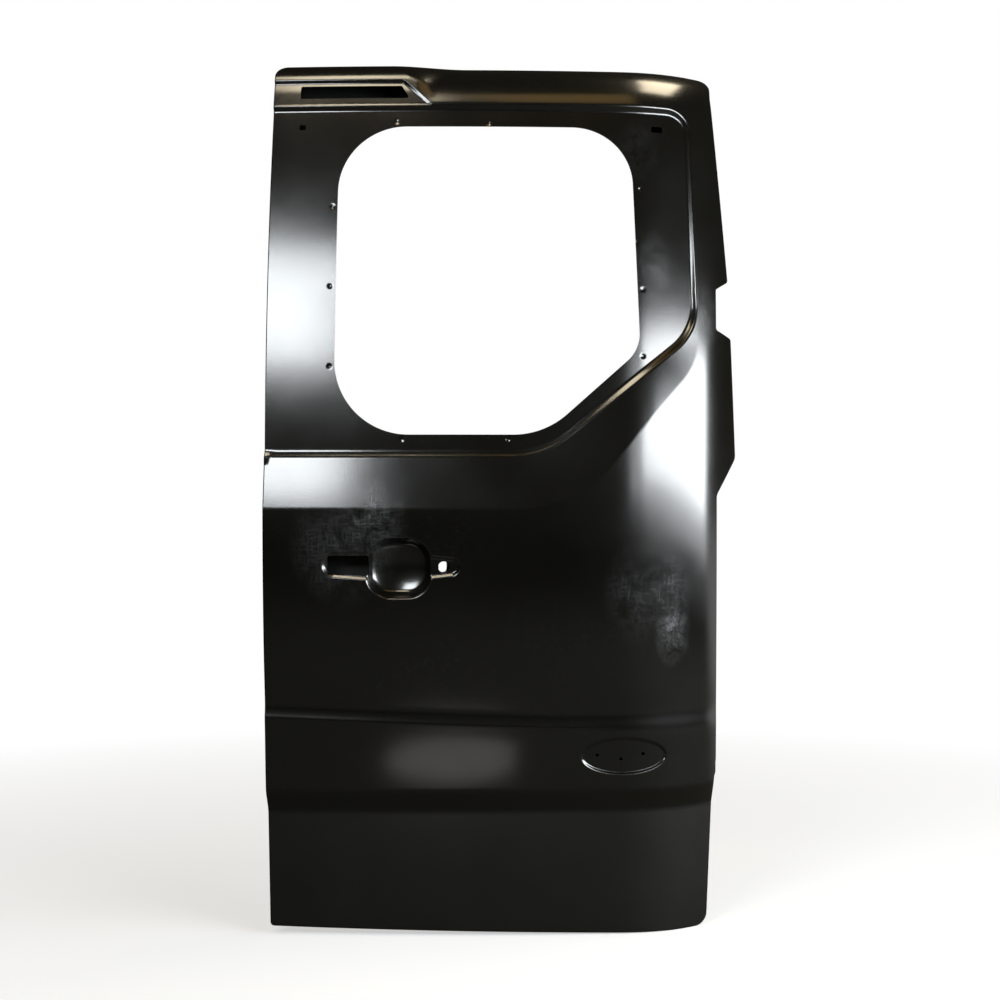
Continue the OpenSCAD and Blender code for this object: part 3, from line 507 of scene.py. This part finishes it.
# Materials.
class Shader:
    """A material's node tree with short calls for its nodes."""

    def __init__(self, name):
        self.mat = bpy.data.materials.new(name)
        self.mat.use_nodes = True
        self.nt = self.mat.node_tree
        self.bsdf = self.nt.nodes["Principled BSDF"]
        self.at = self.nt.nodes.new("ShaderNodeTexCoord").outputs["Object"]

    def put(self, socket, value):
        """Sets a socket to a plain value, or links another socket to it."""
        if isinstance(value, (int, float, tuple)):
            socket.default_value = value
        else:
            self.nt.links.new(value, socket)

    def noise(self, scale, detail=3.0, distortion=0.0, rough=0.5):
        n = self.nt.nodes.new("ShaderNodeTexNoise")
        for key, value in (("Scale", scale), ("Detail", detail), ("Distortion", distortion), ("Roughness", rough)):
            n.inputs[key].default_value = value
        self.put(n.inputs["Vector"], self.at)
        return n.outputs["Fac"]

    def vector(self, op, a, b):
        n = self.nt.nodes.new("ShaderNodeVectorMath")
        n.operation = op
        self.put(n.inputs[0], a)
        self.put(n.inputs[1], b)
        return n.outputs["Value" if op == "LENGTH" else "Vector"]

    def ramp(self, value, lo, hi, out_lo=0.0, out_hi=1.0):
        """A value carried straight from one range to another and held at its ends."""
        n = self.nt.nodes.new("ShaderNodeMapRange")
        for key, v in (("From Min", lo), ("From Max", hi), ("To Min", out_lo), ("To Max", out_hi)):
            n.inputs[key].default_value = v
        self.put(n.inputs["Value"], value)
        return n.outputs["Result"]

    def math(self, op, a, b=0.0):
        n = self.nt.nodes.new("ShaderNodeMath")
        n.operation = op
        self.put(n.inputs[0], a)
        self.put(n.inputs[1], b)
        return n.outputs[0]

    def patch(self, mid, half, edge=0.5):
        """One within a soft-edged ellipse on the face, given in door millimetres."""
        at = self.vector("SUBTRACT", self.at, tuple(row((mid[0], 0, mid[1]))))
        at = self.vector("MULTIPLY", at, (1000 / half[0], 0.0, 1000 / half[1]))
        return self.ramp(self.vector("LENGTH", at, (0.0, 0.0, 0.0)), 1.0, 1.0 - edge)

    def hatch(self, axis, step):
        """Fine rubbed lines across one axis, step in metres."""
        scale = [0.0, 0.0, 0.0]
        scale[axis] = 1 / step
        scale[2 - axis] = 0.15 / step
        n = self.nt.nodes.new("ShaderNodeTexNoise")
        n.inputs["Scale"].default_value = 1.0
        n.inputs["Detail"].default_value = 1.0
        self.put(n.inputs["Vector"], self.vector("MULTIPLY", self.at, tuple(scale)))
        return self.ramp(n.outputs["Fac"], 0.46, 0.66)


DUST_TINT, DUST_ROUGH, SKIRT_ROUGH = (0.11, 0.115, 0.12), 0.3, 0.15
WEAVE_STEP, PEEL_DEPTH = 0.0034, 0.001  # metres
# Dust rubbed on by packing: middle, half size, strength and whether it shows the packing's weave.
RUBS = [
    ((172, 680), (66, 72), 0.6, True), ((130, 640), (90, 105), 0.3, True), ((648, 560), (40, 80), 0.45, True),
    ((655, 500), (32, 62), 0.8, False), ((600, 560), (60, 90), 0.2, True), ((625, 1090), (34, 66), 0.26, False),
    ((712, 1010), (22, 60), 0.3, False), ((600, 1290), (40, 60), 0.1, False),
]


def paint(name, base, rough, dust, peel, ior=1.5, rubs=(), skirt=False):
    """Primer: dusty specks in clouds, an orange-peel skin, rubbed patches and, on the skin, a duller skirt."""
    m = Shader(name)
    specks = m.ramp(m.noise(300.0, 2.0, 0.4), 0.6, 0.8)
    cloud = m.ramp(m.noise(6.0, 5.0, 0.6, 0.6), 0.46, 0.74)
    fac = m.math("MULTIPLY", m.math("MULTIPLY", specks, cloud), dust)
    haze = m.ramp(m.noise(26.0, 8.0, 0.4, 0.7), 0.36, 0.62)
    grain = m.ramp(m.noise(240.0, 3.0, 0.2, 0.6), 0.34, 0.62, 0.45, 1.0)
    weave = m.math("MAXIMUM", m.hatch(0, WEAVE_STEP), m.hatch(2, WEAVE_STEP))
    for mid, half, strength, woven in rubs:
        at = m.math("MULTIPLY", m.patch(mid, half, 1.0), haze)
        at = m.math("MULTIPLY", at, m.ramp(weave, 0.0, 1.0, 0.35, 1.0) if woven else grain)
        fac = m.math("MAXIMUM", fac, m.math("MULTIPLY", at, strength))
    mix = m.nt.nodes.new("ShaderNodeMix")
    mix.data_type = "RGBA"
    m.put(mix.inputs["Factor"], fac)
    mix.inputs["A"].default_value = (*base, 1)
    mix.inputs["B"].default_value = (*(tint + own for tint, own in zip(DUST_TINT, base)), 1)
    m.put(m.bsdf.inputs["Base Color"], mix.outputs["Result"])
    uneven = m.ramp(m.noise(9.0, 4.0), 0.3, 0.7, rough - 0.015, rough + 0.025)
    dull = m.math("ADD", uneven, m.math("MULTIPLY", fac, DUST_ROUGH))
    if skirt:
        split = m.nt.nodes.new("ShaderNodeSeparateXYZ")
        m.put(split.inputs[0], m.at)
        low = m.ramp(split.outputs["Z"], (STEP_FOOT + 6 - SEAT[2]) / 1000, (STEP_FOOT - 2 - SEAT[2]) / 1000)
        dull = m.math("ADD", dull, m.math("MULTIPLY", low, SKIRT_ROUGH))
    m.put(m.bsdf.inputs["Roughness"], dull)
    bump = m.nt.nodes.new("ShaderNodeBump")
    bump.inputs["Strength"].default_value = peel
    bump.inputs["Distance"].default_value = PEEL_DEPTH
    m.put(bump.inputs["Height"], m.noise(420.0, 2.0))
    m.put(m.bsdf.inputs["Normal"], bump.outputs["Normal"])
    m.bsdf.inputs["IOR"].default_value = ior
    return m.mat


black = paint("black_primer", (0.0018, 0.0017, 0.0012), 0.17, 0.12, 0.03, 1.7, RUBS, True)
inner_black = paint("inner_primer", (0.010, 0.0102, 0.0105), 0.34, 0.6, 0.08)
zinc = paint("zinc_plate", (0.35, 0.34, 0.30), 0.3, 0.2, 0.04)
zinc.node_tree.nodes["Principled BSDF"].inputs["Metallic"].default_value = 1.0
sealer = paint("grey_mastic", (0.11, 0.11, 0.10), 0.7, 0.2, 0.4)

# The outer skin.
HEM_IN = 1.9
face_rim = resample(outline(grown(door_c, -HEM_IN), 10), 5.0)
window_rim = resample(WINDOW_LINE, 5.0)
slot_rim = resample(outline(box_corners(137, 607.5, 33, 15.5, 3), 4), 3.0)
lamp_rim = resample(outline([(45, 1374, 3), (226, 1374, 3), (212, 1396, 3), (45, 1396, 3)], 4), 4.0)
clip_rims = [
    resample(outline(box_corners(x, z, w / 2, h / 2, 1.5), 3), 2.0)
    for x, z, w, h in ((50, 1325, 11, 9), (632, 1326, 18, 10))
]
badge_rims = [circle(OVAL[0] + dx, OVAL[1] + dz, 2.6, 2.6, 16) for dx, dz in ((-43, 2), (-5, -5), (31, 3))]
lock_rim = circle(BOWL[0] + 72, BOWL[1] + 2, 9, 9, 36)
holes = [window_rim, slot_rim, lamp_rim, lock_rim] + clip_rims + badge_rims

bowl_box = box_corners(BOWL[0], BOWL[1], BOWL[2] / 2, BOWL[3] / 2, BOWL_CORNER)
wing_pts = []
for p, q, rp, rq in WINGS:
    for d in (4, 2.5, 1.5, 0.5, -0.5, -1.5, -2.5, -3.5, -5, -6.5, -8):
        a = np.linspace(0, 2 * math.pi, 60, False)
        near = np.sign(p[0]) * np.cos(a) > -0.2
        ring = np.stack([BOWL[0] + p[0] + (rp + d) * np.cos(a), BOWL[1] + p[1] + (rp + d) * np.sin(a)], -1)[near]
        wing_pts.append(ring)
        for sz in (-1, 1):
            t = np.linspace(0, 1, 20)
            wing_pts.append(np.stack([BOWL[0] + p[0] + (q[0] - p[0]) * t,
                                      BOWL[1] + p[1] + (q[1] - p[1]) * t + sz * (rp + (rq - rp) * t + d)], -1))
# Points of the mesh, the finer ones first, each group with the least gap that its points keep.
groups = [
    (lines_about(bowl_box, (5, 3, 2, 1, 0, -1, -2, -3, -4.5, -6, -8, -10.5, -13.5, -17, -21, -25, -30, -36), 3), 0.8),
    (np.concatenate(wing_pts), 0.9),
    (np.concatenate([circle(OVAL[0], OVAL[1], OVAL[2] / 2 + d, OVAL[3] / 2 + d, 100)
                     for d in (4, 2.5, 1.5, 0.5, -0.5, -1.5, -2.5, -3.5, -4.5, -5.5, -7, -10, -16, -24)]), 0.8),
    (np.concatenate([circle(x, z, r, r, n) for x, z in DIMPLES
                     for r, n in ((6.5, 20), (4.5, 16), (2.8, 12), (1.2, 6))]), 0.8),
    (lines_about(foot_c, (-6, -4, -2.6, -1.6, -0.6, 0.4, 1.4, 2.6, 5, 7.4, 8.6, 9.6, 10.6, 11.6, 12.6, 14), 5), 0.75),
    (lines_about(waist_c, (-6, -4, -2.6, -1.6, -0.8, 0, 0.8, 1.6, 2.6, 4, 6), 5), 0.75),
    (lines_about(lamp_c, (-10, -8.5, -7.6, -6.8, -6, -4, -1.6, -0.8, 0, 0.8, 1.6, 3), 4), 0.75),
    (rows_of(np.concatenate([np.arange(BAND_TOP - 14, BAND_TOP + 36, 1.5),
                             np.arange(BAND_LOW - 9, BAND_LOW + 10, 1.8),
                             np.arange(STEP_FOOT - 9, STEP_FOOT + 10, 1.8)]), 7), 1.2),
    (rows_of(np.arange(ROLL_ROWS_Z, DOOR_H, 3.0), 7), 2.0),
    (plain_grid(5.5, 9, 690, 775, 0, DOOR_H), 3.5),
    (plain_grid(8, 10, 560, 775, 0, DOOR_H), 4.5),
    (plain_grid(14, 12, -5, 775, 0, DOOR_H), 6.0),
]
co, tris = triangulate(face_rim, holes, groups)
front = np.stack([co[:, 0], skin_face(co[:, 0], co[:, 1]), co[:, 1]], -1)
front_n = normals_of(skin_face, co[:, 0], co[:, 1])
skin = Sheet()
skin.add(front, front_n, tris)
skin.add(front - front_n * SKIN_T, -front_n, tris[:, ::-1])
for line in holes:
    p, n = on_face(skin_face, line)
    side = -outward(line)
    skin.ribbon([p, p - n * SKIN_T], [side, side])

# The hem is rolled round the edge, then folded flat on the flange behind.
p, n = on_face(skin_face, face_rim)
out = outward(face_rim)
along = out - n * (out * n).sum(1, keepdims=True)
along /= np.linalg.norm(along, axis=1, keepdims=True)
centre = p - n * HEM_IN
turns = [math.radians(a) for a in (0, 15, 35, 55, 75, 95, 115, 135, 155, 172, 180)]
rings = [centre + HEM_IN * (math.cos(a) * n + math.sin(a) * along) for a in turns]
ring_n = [math.cos(a) * n + math.sin(a) * along for a in turns]
reach = np.clip(sdf(p[:, 0], p[:, 2], outline(grown(box_c, PANEL_T + 1), 12)) - 0.6, 1.2, HEM_W)[:, None]
for d in (0.3, 0.6, 0.9):
    rings.append(centre - HEM_IN * n - along * reach * d)
    ring_n.append(-n)
skin.ribbon(rings, ring_n)
edge_a = rings[-1]
skin.ribbon([edge_a, edge_a - along * 0.7 + n * 0.5, edge_a - along * 0.7 + n * 1.1], [-n - along, -along, -along])
skin.object("outer_skin_pressing", black, "outer_skin")

# The inner panel.
FLANGE = SKIN_T + GAP + PANEL_T


def flange_side(x, z):
    """Side of the flanges that faces the van's inside."""
    n = normals_of(flange_face, x, z, 1.0)
    return flange_face(x, z) + FLANGE / np.abs(n[..., 1])


BEADS = [(50, 570, 330, 9), (50, 570, 410, 9), (70, 560, 80, 8), (60, 560, 690, 8)]
ACCESS = [(160, 508, 190, 160, 30), (440, 560, 250, 190, 34), (185, 190, 200, 150, 30), (440, 190, 230, 150, 34),
          (BOWL[0] + 65, BOWL[1] + 2, 13, 20, 6)]
CLIPS = [(40, 760), (300, 740), (560, 740), (40, 440), (300, 440), (600, 440), (40, 95), (300, 95), (600, 95),
         (40, 1120), (660, 1120), (300, 655)]


def roof(x, z):
    """Outer side of the boxed panel with its sunk ribs."""
    y = inner_face(x, z)
    for x0, x1, zc, half in BEADS:
        d = -capsule(x, z, (x0, zc), (x1, zc), half, half)
        y = y + 5 * (ease(d, 4) - ease(d - 6, 4)) / 6
    return y


roof_rim = resample(outline(grown(box_c, PANEL_T - PANEL_BEND), 8), 6.0)
well_rim = resample(outline(grown(window_c, WELL_OUT - PANEL_T + PANEL_BEND)), 6.0)
access_rims = [resample(outline(box_corners(x, z, w / 2, h / 2, r), 10), 6.0) for x, z, w, h, r in ACCESS]
small_rims = [circle(x, z, 5, 5, 20) for x, z in CLIPS]
bead_pts = []
for x0, x1, zc, half in BEADS:
    for d in (3, 2, 1, 0, -1, -2.5, -4, -5.5, -7):
        n = max(int((x1 - x0) / 7), 2)
        t = np.linspace(x0, x1, n)
        for sz in (-1, 1):
            bead_pts.append(np.stack([t, zc + sz * np.full(n, half + d)], -1))
        a = np.linspace(math.pi / 2, 3 * math.pi / 2, 12)
        bead_pts.append(np.stack([x0 + (half + d) * np.cos(a), zc + (half + d) * np.sin(a)], -1))
        bead_pts.append(np.stack([x1 - (half + d) * np.cos(a), zc + (half + d) * np.sin(a)], -1))
groups = [(np.concatenate(bead_pts), 0.8), (plain_grid(8, 12, 560, 775, 0, DOOR_H), 4.0),
          (plain_grid(16, 16, 0, 775, 0, DOOR_H), 6.0)]
co, tris = triangulate(roof_rim, [well_rim] + access_rims + small_rims, groups)
panel = Sheet()
pn = normals_of(roof, co[:, 0], co[:, 1])
pv = np.stack([co[:, 0], roof(co[:, 0], co[:, 1]), co[:, 1]], -1)
panel.add(pv, -pn, tris[:, ::-1])
panel.add(pv + pn * PANEL_T, pn, tris)


def wall_patch(x, way, rim, holes, pad):
    """A flat stretch of side wall at x, with round or square holes and a raised pad."""
    if (rim[:, 0] * np.roll(rim[:, 1], -1) - np.roll(rim[:, 0], -1) * rim[:, 1]).sum() < 0:
        rim = rim[::-1]
    lines = []
    for y, z, hy, hz, r in holes:
        lines.append(circle(z, y, r, r, 20) if r else resample(outline(box_corners(z, y, hz, hy, 2), 3), 3.0))
    points = [(np.array([(z, y) for z in np.arange(rim[:, 0].min(), rim[:, 0].max(), 4)
                         for y in np.arange(rim[:, 1].min(), rim[:, 1].max(), 4)]), 2.0)]
    if pad:
        box = box_corners(pad[1], pad[0], pad[3], pad[2], 5)
        points.insert(0, (lines_about(box, (1.2, 0.6, 0.0, -0.6, -1.2), 2.5), 0.4))
    co, tris = triangulate(rim, lines, points)

    def lift(z, y):
        if not pad:
            return np.zeros_like(z)
        return smooth((0.9 - rounded(z, y, pad[1], pad[0], pad[3], pad[2], 5)) / 1.8)

    def placed(line, depth):
        return np.stack([x + way * (lift(line[:, 0], line[:, 1]) - depth), line[:, 1], line[:, 0]], -1)

    h = 0.3
    gz = (lift(co[:, 0] + h, co[:, 1]) - lift(co[:, 0] - h, co[:, 1])) / (2 * h)
    gy = (lift(co[:, 0], co[:, 1] + h) - lift(co[:, 0], co[:, 1] - h)) / (2 * h)
    normal = np.stack([np.full(len(co), way), -gy, -gz], -1)
    normal /= np.linalg.norm(normal, axis=1, keepdims=True)
    panel.add(placed(co, 0.0), normal, tris if way < 0 else tris[:, ::-1])
    for line in lines:
        out2 = rim_normals(line)
        side = np.stack([np.zeros(len(line)), -out2[:, 1], -out2[:, 0]], -1)
        panel.ribbon([placed(line, 0.0), placed(line, PANEL_T)], [side, side])


def wall(rim_c, sign, patches=()):
    """A drawn wall between roof and flange; sign is +1 where the flange lies outside the outline."""
    line = resample(outline(grown(rim_c, -sign * PANEL_BEND), 8 if sign > 0 else 30), 6.0)
    n2 = rim_normals(line) * sign
    out = np.stack([n2[:, 0], np.zeros(len(line)), n2[:, 1]], -1)
    top = roof(line[:, 0], line[:, 1])
    rings, norms = [], []
    back = np.array([0.0, 1.0, 0.0])
    base = np.stack([line[:, 0], top, line[:, 1]], -1)
    slope = normals_of(roof, line[:, 0], line[:, 1])
    lift = (out * slope).sum(1, keepdims=True)
    for a in np.radians((0, 18, 36, 54, 72, 90)):
        q = base + out * PANEL_BEND * math.sin(a) - back * PANEL_BEND * (1 - math.cos(a))
        rings.append(q + back * lift * PANEL_BEND * math.sin(a) * (1 - math.sin(a)))
        norms.append(back * math.cos(a) + out * math.sin(a))
    foot_line = line + n2 * (PANEL_BEND + FOOT_BEND)
    fy = flange_side(foot_line[:, 0], foot_line[:, 1])
    foot = np.stack([foot_line[:, 0], fy, foot_line[:, 1]], -1)
    for a in np.radians((90, 60, 30, 0)):
        rings.append(foot - out * FOOT_BEND * math.sin(a) + back * FOOT_BEND * (1 - math.cos(a)))
        norms.append(back * math.cos(a) + out * math.sin(a))
    skip = np.zeros(len(line), bool)
    for x, z0, z1, holes, pad in patches:
        span = [i for i in range(len(line)) if abs(rings[5][i][0] - x) < 0.4 and z0 < line[i][1] < z1]
        if not span:
            continue
        span.sort(key=lambda i: line[i][1])
        rising = (span[1] - span[0]) % len(line) == 1
        skip[span[:-1] if rising else span[1:]] = True
        rim = np.array([rings[6][i][[2, 1]] for i in span] + [rings[5][i][[2, 1]] for i in span[::-1]])
        wall_patch(x, math.copysign(1, x - 300), rim, holes, pad)
    panel.ribbon(rings[::-1][:len(rings) - 5], norms[::-1][:len(rings) - 5])
    panel.ribbon(rings[::-1][len(rings) - 6:], norms[::-1][len(rings) - 6:])
    n = len(line)
    quads = [(i, (i + 1) % n, n + (i + 1) % n, n + i) for i in range(n) if not skip[i]]
    panel.add(np.concatenate([rings[6], rings[5]]), np.concatenate([norms[6], norms[5]]), quads)
    return foot_line


LOWER_WALL, SILL_WALL, LOCK_WALL = LOWER_W - 6 + PANEL_T, SILL_W - 5 + PANEL_T, 14 - PANEL_T
# Patches of side wall: x, lowest and highest z, the holes as y, z, half y, half z and radius, and the pad.
PATCHES = [
    (LOWER_WALL, 985, 1073, [(188, NOTCH_Z + s * 20, 0, 0, 5.5) for s in (-1, 1)], (188, NOTCH_Z, 19, 32)),
    (LOWER_WALL, 520, 600, [(172, 560 + s * 25, 0, 0, 4.3) for s in (-1, 1)], None),
    (SILL_WALL, 106, 194, [(198, 150 + s * 20, 0, 0, 5.5) for s in (-1, 1)], (198, 150, 19, 32)),
    (LOCK_WALL, 550, 670,
     [(31 + a, 610 + b, 0, 0, 4.3) for a in (-11, 11) for b in (-40, 40)] + [(31, 610, 8, 14, 0)], None),
]
outer_foot = wall(grown(box_c, PANEL_T), 1, PATCHES)
inner_foot = wall(grown(window_c, WELL_OUT - PANEL_T), -1)
for rim, hole_line in (
    (resample(outline(grown(door_c, -2.2), 10), 7.0), outer_foot),
    (inner_foot, resample(outline(grown(window_c, 1)), 5.0)),
):
    ok = [(lines_about(foot_c, (-2, 0, 2, 5, 8, 10, 12), 8), 1.5), (plain_grid(9, 9, 0, 775, 0, DOOR_H), 4.0)]
    co, tris = triangulate(rim, [hole_line], ok)
    fn = normals_of(flange_side, co[:, 0], co[:, 1], 1.0)
    panel.add(np.stack([co[:, 0], flange_side(co[:, 0], co[:, 1]), co[:, 1]], -1), -fn, tris[:, ::-1])
for line in access_rims + small_rims:
    deep = 5.0 if len(line) > 24 else PANEL_T
    p, n = on_face(roof, line)
    side = -outward(line)
    if deep > 2:
        r = 2.0
        rings = [p + side * r * math.sin(a) + n * r * (1 - math.cos(a)) for a in np.radians((0, 30, 60, 90))]
        ring_n = [-n * math.cos(a) + side * math.sin(a) for a in np.radians((0, 30, 60, 90))]
        rings.append(p + side * r + n * deep)
        ring_n.append(side)
        panel.ribbon(rings, ring_n)
    else:
        panel.ribbon([p, p + n * deep], [side, side])
line = resample(outline(grown(window_c, 1)), 5.0)
p, n = on_face(flange_side, line)
side = -outward(line)
panel.ribbon([p, p + n * (PANEL_T + GAP)], [side, side])
panel.object("inner_panel_pressing", inner_black, "inner_panel")

for name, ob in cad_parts.items():
    if name in ("outer_skin", "inner_panel"):
        continue
    metal = zinc if name.endswith("nuts") else inner_black
    ob.data.materials.clear()
    ob.data.materials.append(sealer if name.endswith("mastic") else metal)

# The studio.
scene = bpy.context.scene
floor_z = cad_low.z
FLOOR_HALF, FLOOR_MIDDLE = 30, (-0.36, -0.1)
FLOOR_TONE, FLOOR_SEEN, WORLD_LIGHT = (0.06, 0.058, 0.05, 1), (0.9, 0.9, 0.9, 1), (0.035, 0.032, 0.024, 1)
BACK_FROM = 0.93  # a ray's Y from which the world is a white backdrop in reflections


def light_path(nt, *names):
    """One for a ray of any of the kinds named."""
    path = nt.nodes.new("ShaderNodeLightPath")
    out = path.outputs[names[0]]
    for name in names[1:]:
        n = nt.nodes.new("ShaderNodeMath")
        n.operation = "MAXIMUM"
        nt.links.new(out, n.inputs[0])
        nt.links.new(path.outputs[name], n.inputs[1])
        out = n.outputs[0]
    return out


me = bpy.data.meshes.new("studio_floor")
ends = ((-1, -1), (1, -1), (1, 1), (-1, 1))
me.from_pydata([(FLOOR_HALF * x, FLOOR_HALF * y, floor_z) for x, y in ends], [], [(0, 1, 2, 3)])
floor = bpy.data.objects.new("studio_floor", me)
scene.collection.objects.link(floor)
f = Shader("floor_pale")
me.materials.append(f.mat)
f.bsdf.inputs["Roughness"].default_value = 0.9
f.bsdf.inputs["Specular IOR Level"].default_value = 0.1
tone = f.nt.nodes.new("ShaderNodeMix")
tone.data_type = "RGBA"
tone.inputs["A"].default_value = FLOOR_TONE
tone.inputs["B"].default_value = FLOOR_SEEN
f.put(tone.inputs["Factor"], light_path(f.nt, "Is Camera Ray"))
f.put(f.bsdf.inputs["Base Color"], tone.outputs["Result"])
white = f.nt.nodes.new("ShaderNodeEmission")
white.inputs["Color"].default_value = (1, 1, 1, 1)
off = f.vector("LENGTH", f.vector("SUBTRACT", f.at, (*FLOOR_MIDDLE, floor_z)), (0.0, 0.0, 0.0))
far = f.ramp(off, 0.7, 2.4, 0.55, 1.0)
split = f.nt.nodes.new("ShaderNodeSeparateXYZ")
f.put(split.inputs[0], f.at)
reflected = light_path(f.nt, "Is Glossy Ray", "Is Transmission Ray")
behind = f.math("MULTIPLY", reflected, f.ramp(split.outputs["Y"], 0.1, 0.6))
seen = f.math("MULTIPLY", f.math("MAXIMUM", light_path(f.nt, "Is Camera Ray"), behind), far)
mix = f.nt.nodes.new("ShaderNodeMixShader")
f.put(mix.inputs[0], seen)
f.put(mix.inputs[1], f.bsdf.outputs[0])
f.put(mix.inputs[2], white.outputs[0])
f.put(f.nt.nodes["Material Output"].inputs["Surface"], mix.outputs[0])

world = bpy.data.worlds.new("studio")
scene.world = world
world.use_nodes = True
nt = world.node_tree
nt.nodes["Background"].inputs["Color"].default_value = WORLD_LIGHT
bright = nt.nodes.new("ShaderNodeBackground")
bright.inputs["Color"].default_value = (1, 1, 1, 1)
way = nt.nodes.new("ShaderNodeTexCoord")
split = nt.nodes.new("ShaderNodeSeparateXYZ")
nt.links.new(way.outputs["Generated"], split.inputs[0])
back = nt.nodes.new("ShaderNodeMapRange")
back.inputs["From Min"].default_value, back.inputs["From Max"].default_value = BACK_FROM, 1.0
nt.links.new(split.outputs["Y"], back.inputs["Value"])
shine = nt.nodes.new("ShaderNodeMath")
shine.operation = "MULTIPLY"
nt.links.new(light_path(nt, "Is Glossy Ray", "Is Transmission Ray"), shine.inputs[0])
nt.links.new(back.outputs["Result"], shine.inputs[1])
either = nt.nodes.new("ShaderNodeMath")
either.operation = "MAXIMUM"
nt.links.new(light_path(nt, "Is Camera Ray"), either.inputs[0])
nt.links.new(shine.outputs[0], either.inputs[1])
mix = nt.nodes.new("ShaderNodeMixShader")
nt.links.new(either.outputs[0], mix.inputs[0])
nt.links.new(nt.nodes["Background"].outputs[0], mix.inputs[1])
nt.links.new(bright.outputs[0], mix.inputs[2])
nt.links.new(mix.outputs[0], nt.nodes["World Output"].inputs["Surface"])


def softbox(name, target, azimuth, height, distance, size, radiance, colour, tilt=0):
    """A soft lamp seen from target under an azimuth and elevation in degrees, 0 straight before the door."""
    data = bpy.data.lights.new(name, "AREA")
    data.shape = "RECTANGLE"
    data.size, data.size_y = size
    data.energy = radiance * math.pi * size[0] * size[1]
    data.color = colour
    ob = bpy.data.objects.new(name, data)
    scene.collection.objects.link(ob)
    a, e = math.radians(azimuth), math.radians(height)
    way = Vector((math.sin(a) * math.cos(e), -math.cos(a) * math.cos(e), math.sin(e)))
    ob.location = Vector(row(target)) + way * distance
    ob.rotation_mode = "QUATERNION"
    ob.rotation_quaternion = (-way).to_track_quat("-Z", "Y") @ Quaternion((0, 0, 1), math.radians(tilt))
    ob.visible_camera = False
    return ob


COOL, WARM, AMBER = (0.93, 0.97, 1.0), (1.0, 0.86, 0.62), (1.0, 0.62, 0.22)
softbox("soft_left", (80, 0, 1030), -15.9, 18.6, 3.1, (1.13, 0.86), 18, COOL)
softbox("soft_right", (690, 90, 900), 63.5, 6.8, 2.4, (2.8, 0.8), 19, COOL, -6)
softbox("soft_right_end", (690, 90, 900), 28, 6, 2.4, (0.46, 0.8), 4, COOL)
softbox("soft_right_low", (690, 90, 900), 63.5, -5, 2.4, (2.8, 0.26), 4, COOL, -6)
softbox("high_left", (120, 60, 1400), -11, 56, 2.6, (0.75, 0.8), 11, WARM, 20)
softbox("high_middle", (400, 60, 1400), 25, 56, 2.6, (1.1, 0.9), 1.0, AMBER)
softbox("high_right", (700, 100, 1400), 110, 66, 2.6, (1.3, 0.8), 11, WARM)
softbox("low_glow", (296, -10, 276), 4, -18, 0.42, (0.3, 0.08), 0.75, (1.0, 0.98, 0.92)).data.shape = "ELLIPSE"

camera = bpy.data.cameras.new("camera")
cam = bpy.data.objects.new("camera", camera)
scene.collection.objects.link(cam)
scene.camera = cam
camera.sensor_width = 36
camera.lens = 56.25
aim, away = np.array([379.0, 30.0, 712.0]), 2500
turn = math.radians(4)
cam.location = row(aim + away * np.array([math.sin(turn), -math.cos(turn), 0]))
cam.rotation_mode = "QUATERNION"
cam.rotation_quaternion = (Vector(row(aim)) - cam.location).to_track_quat("-Z", "Y")

scene.view_settings.view_transform = "Standard"
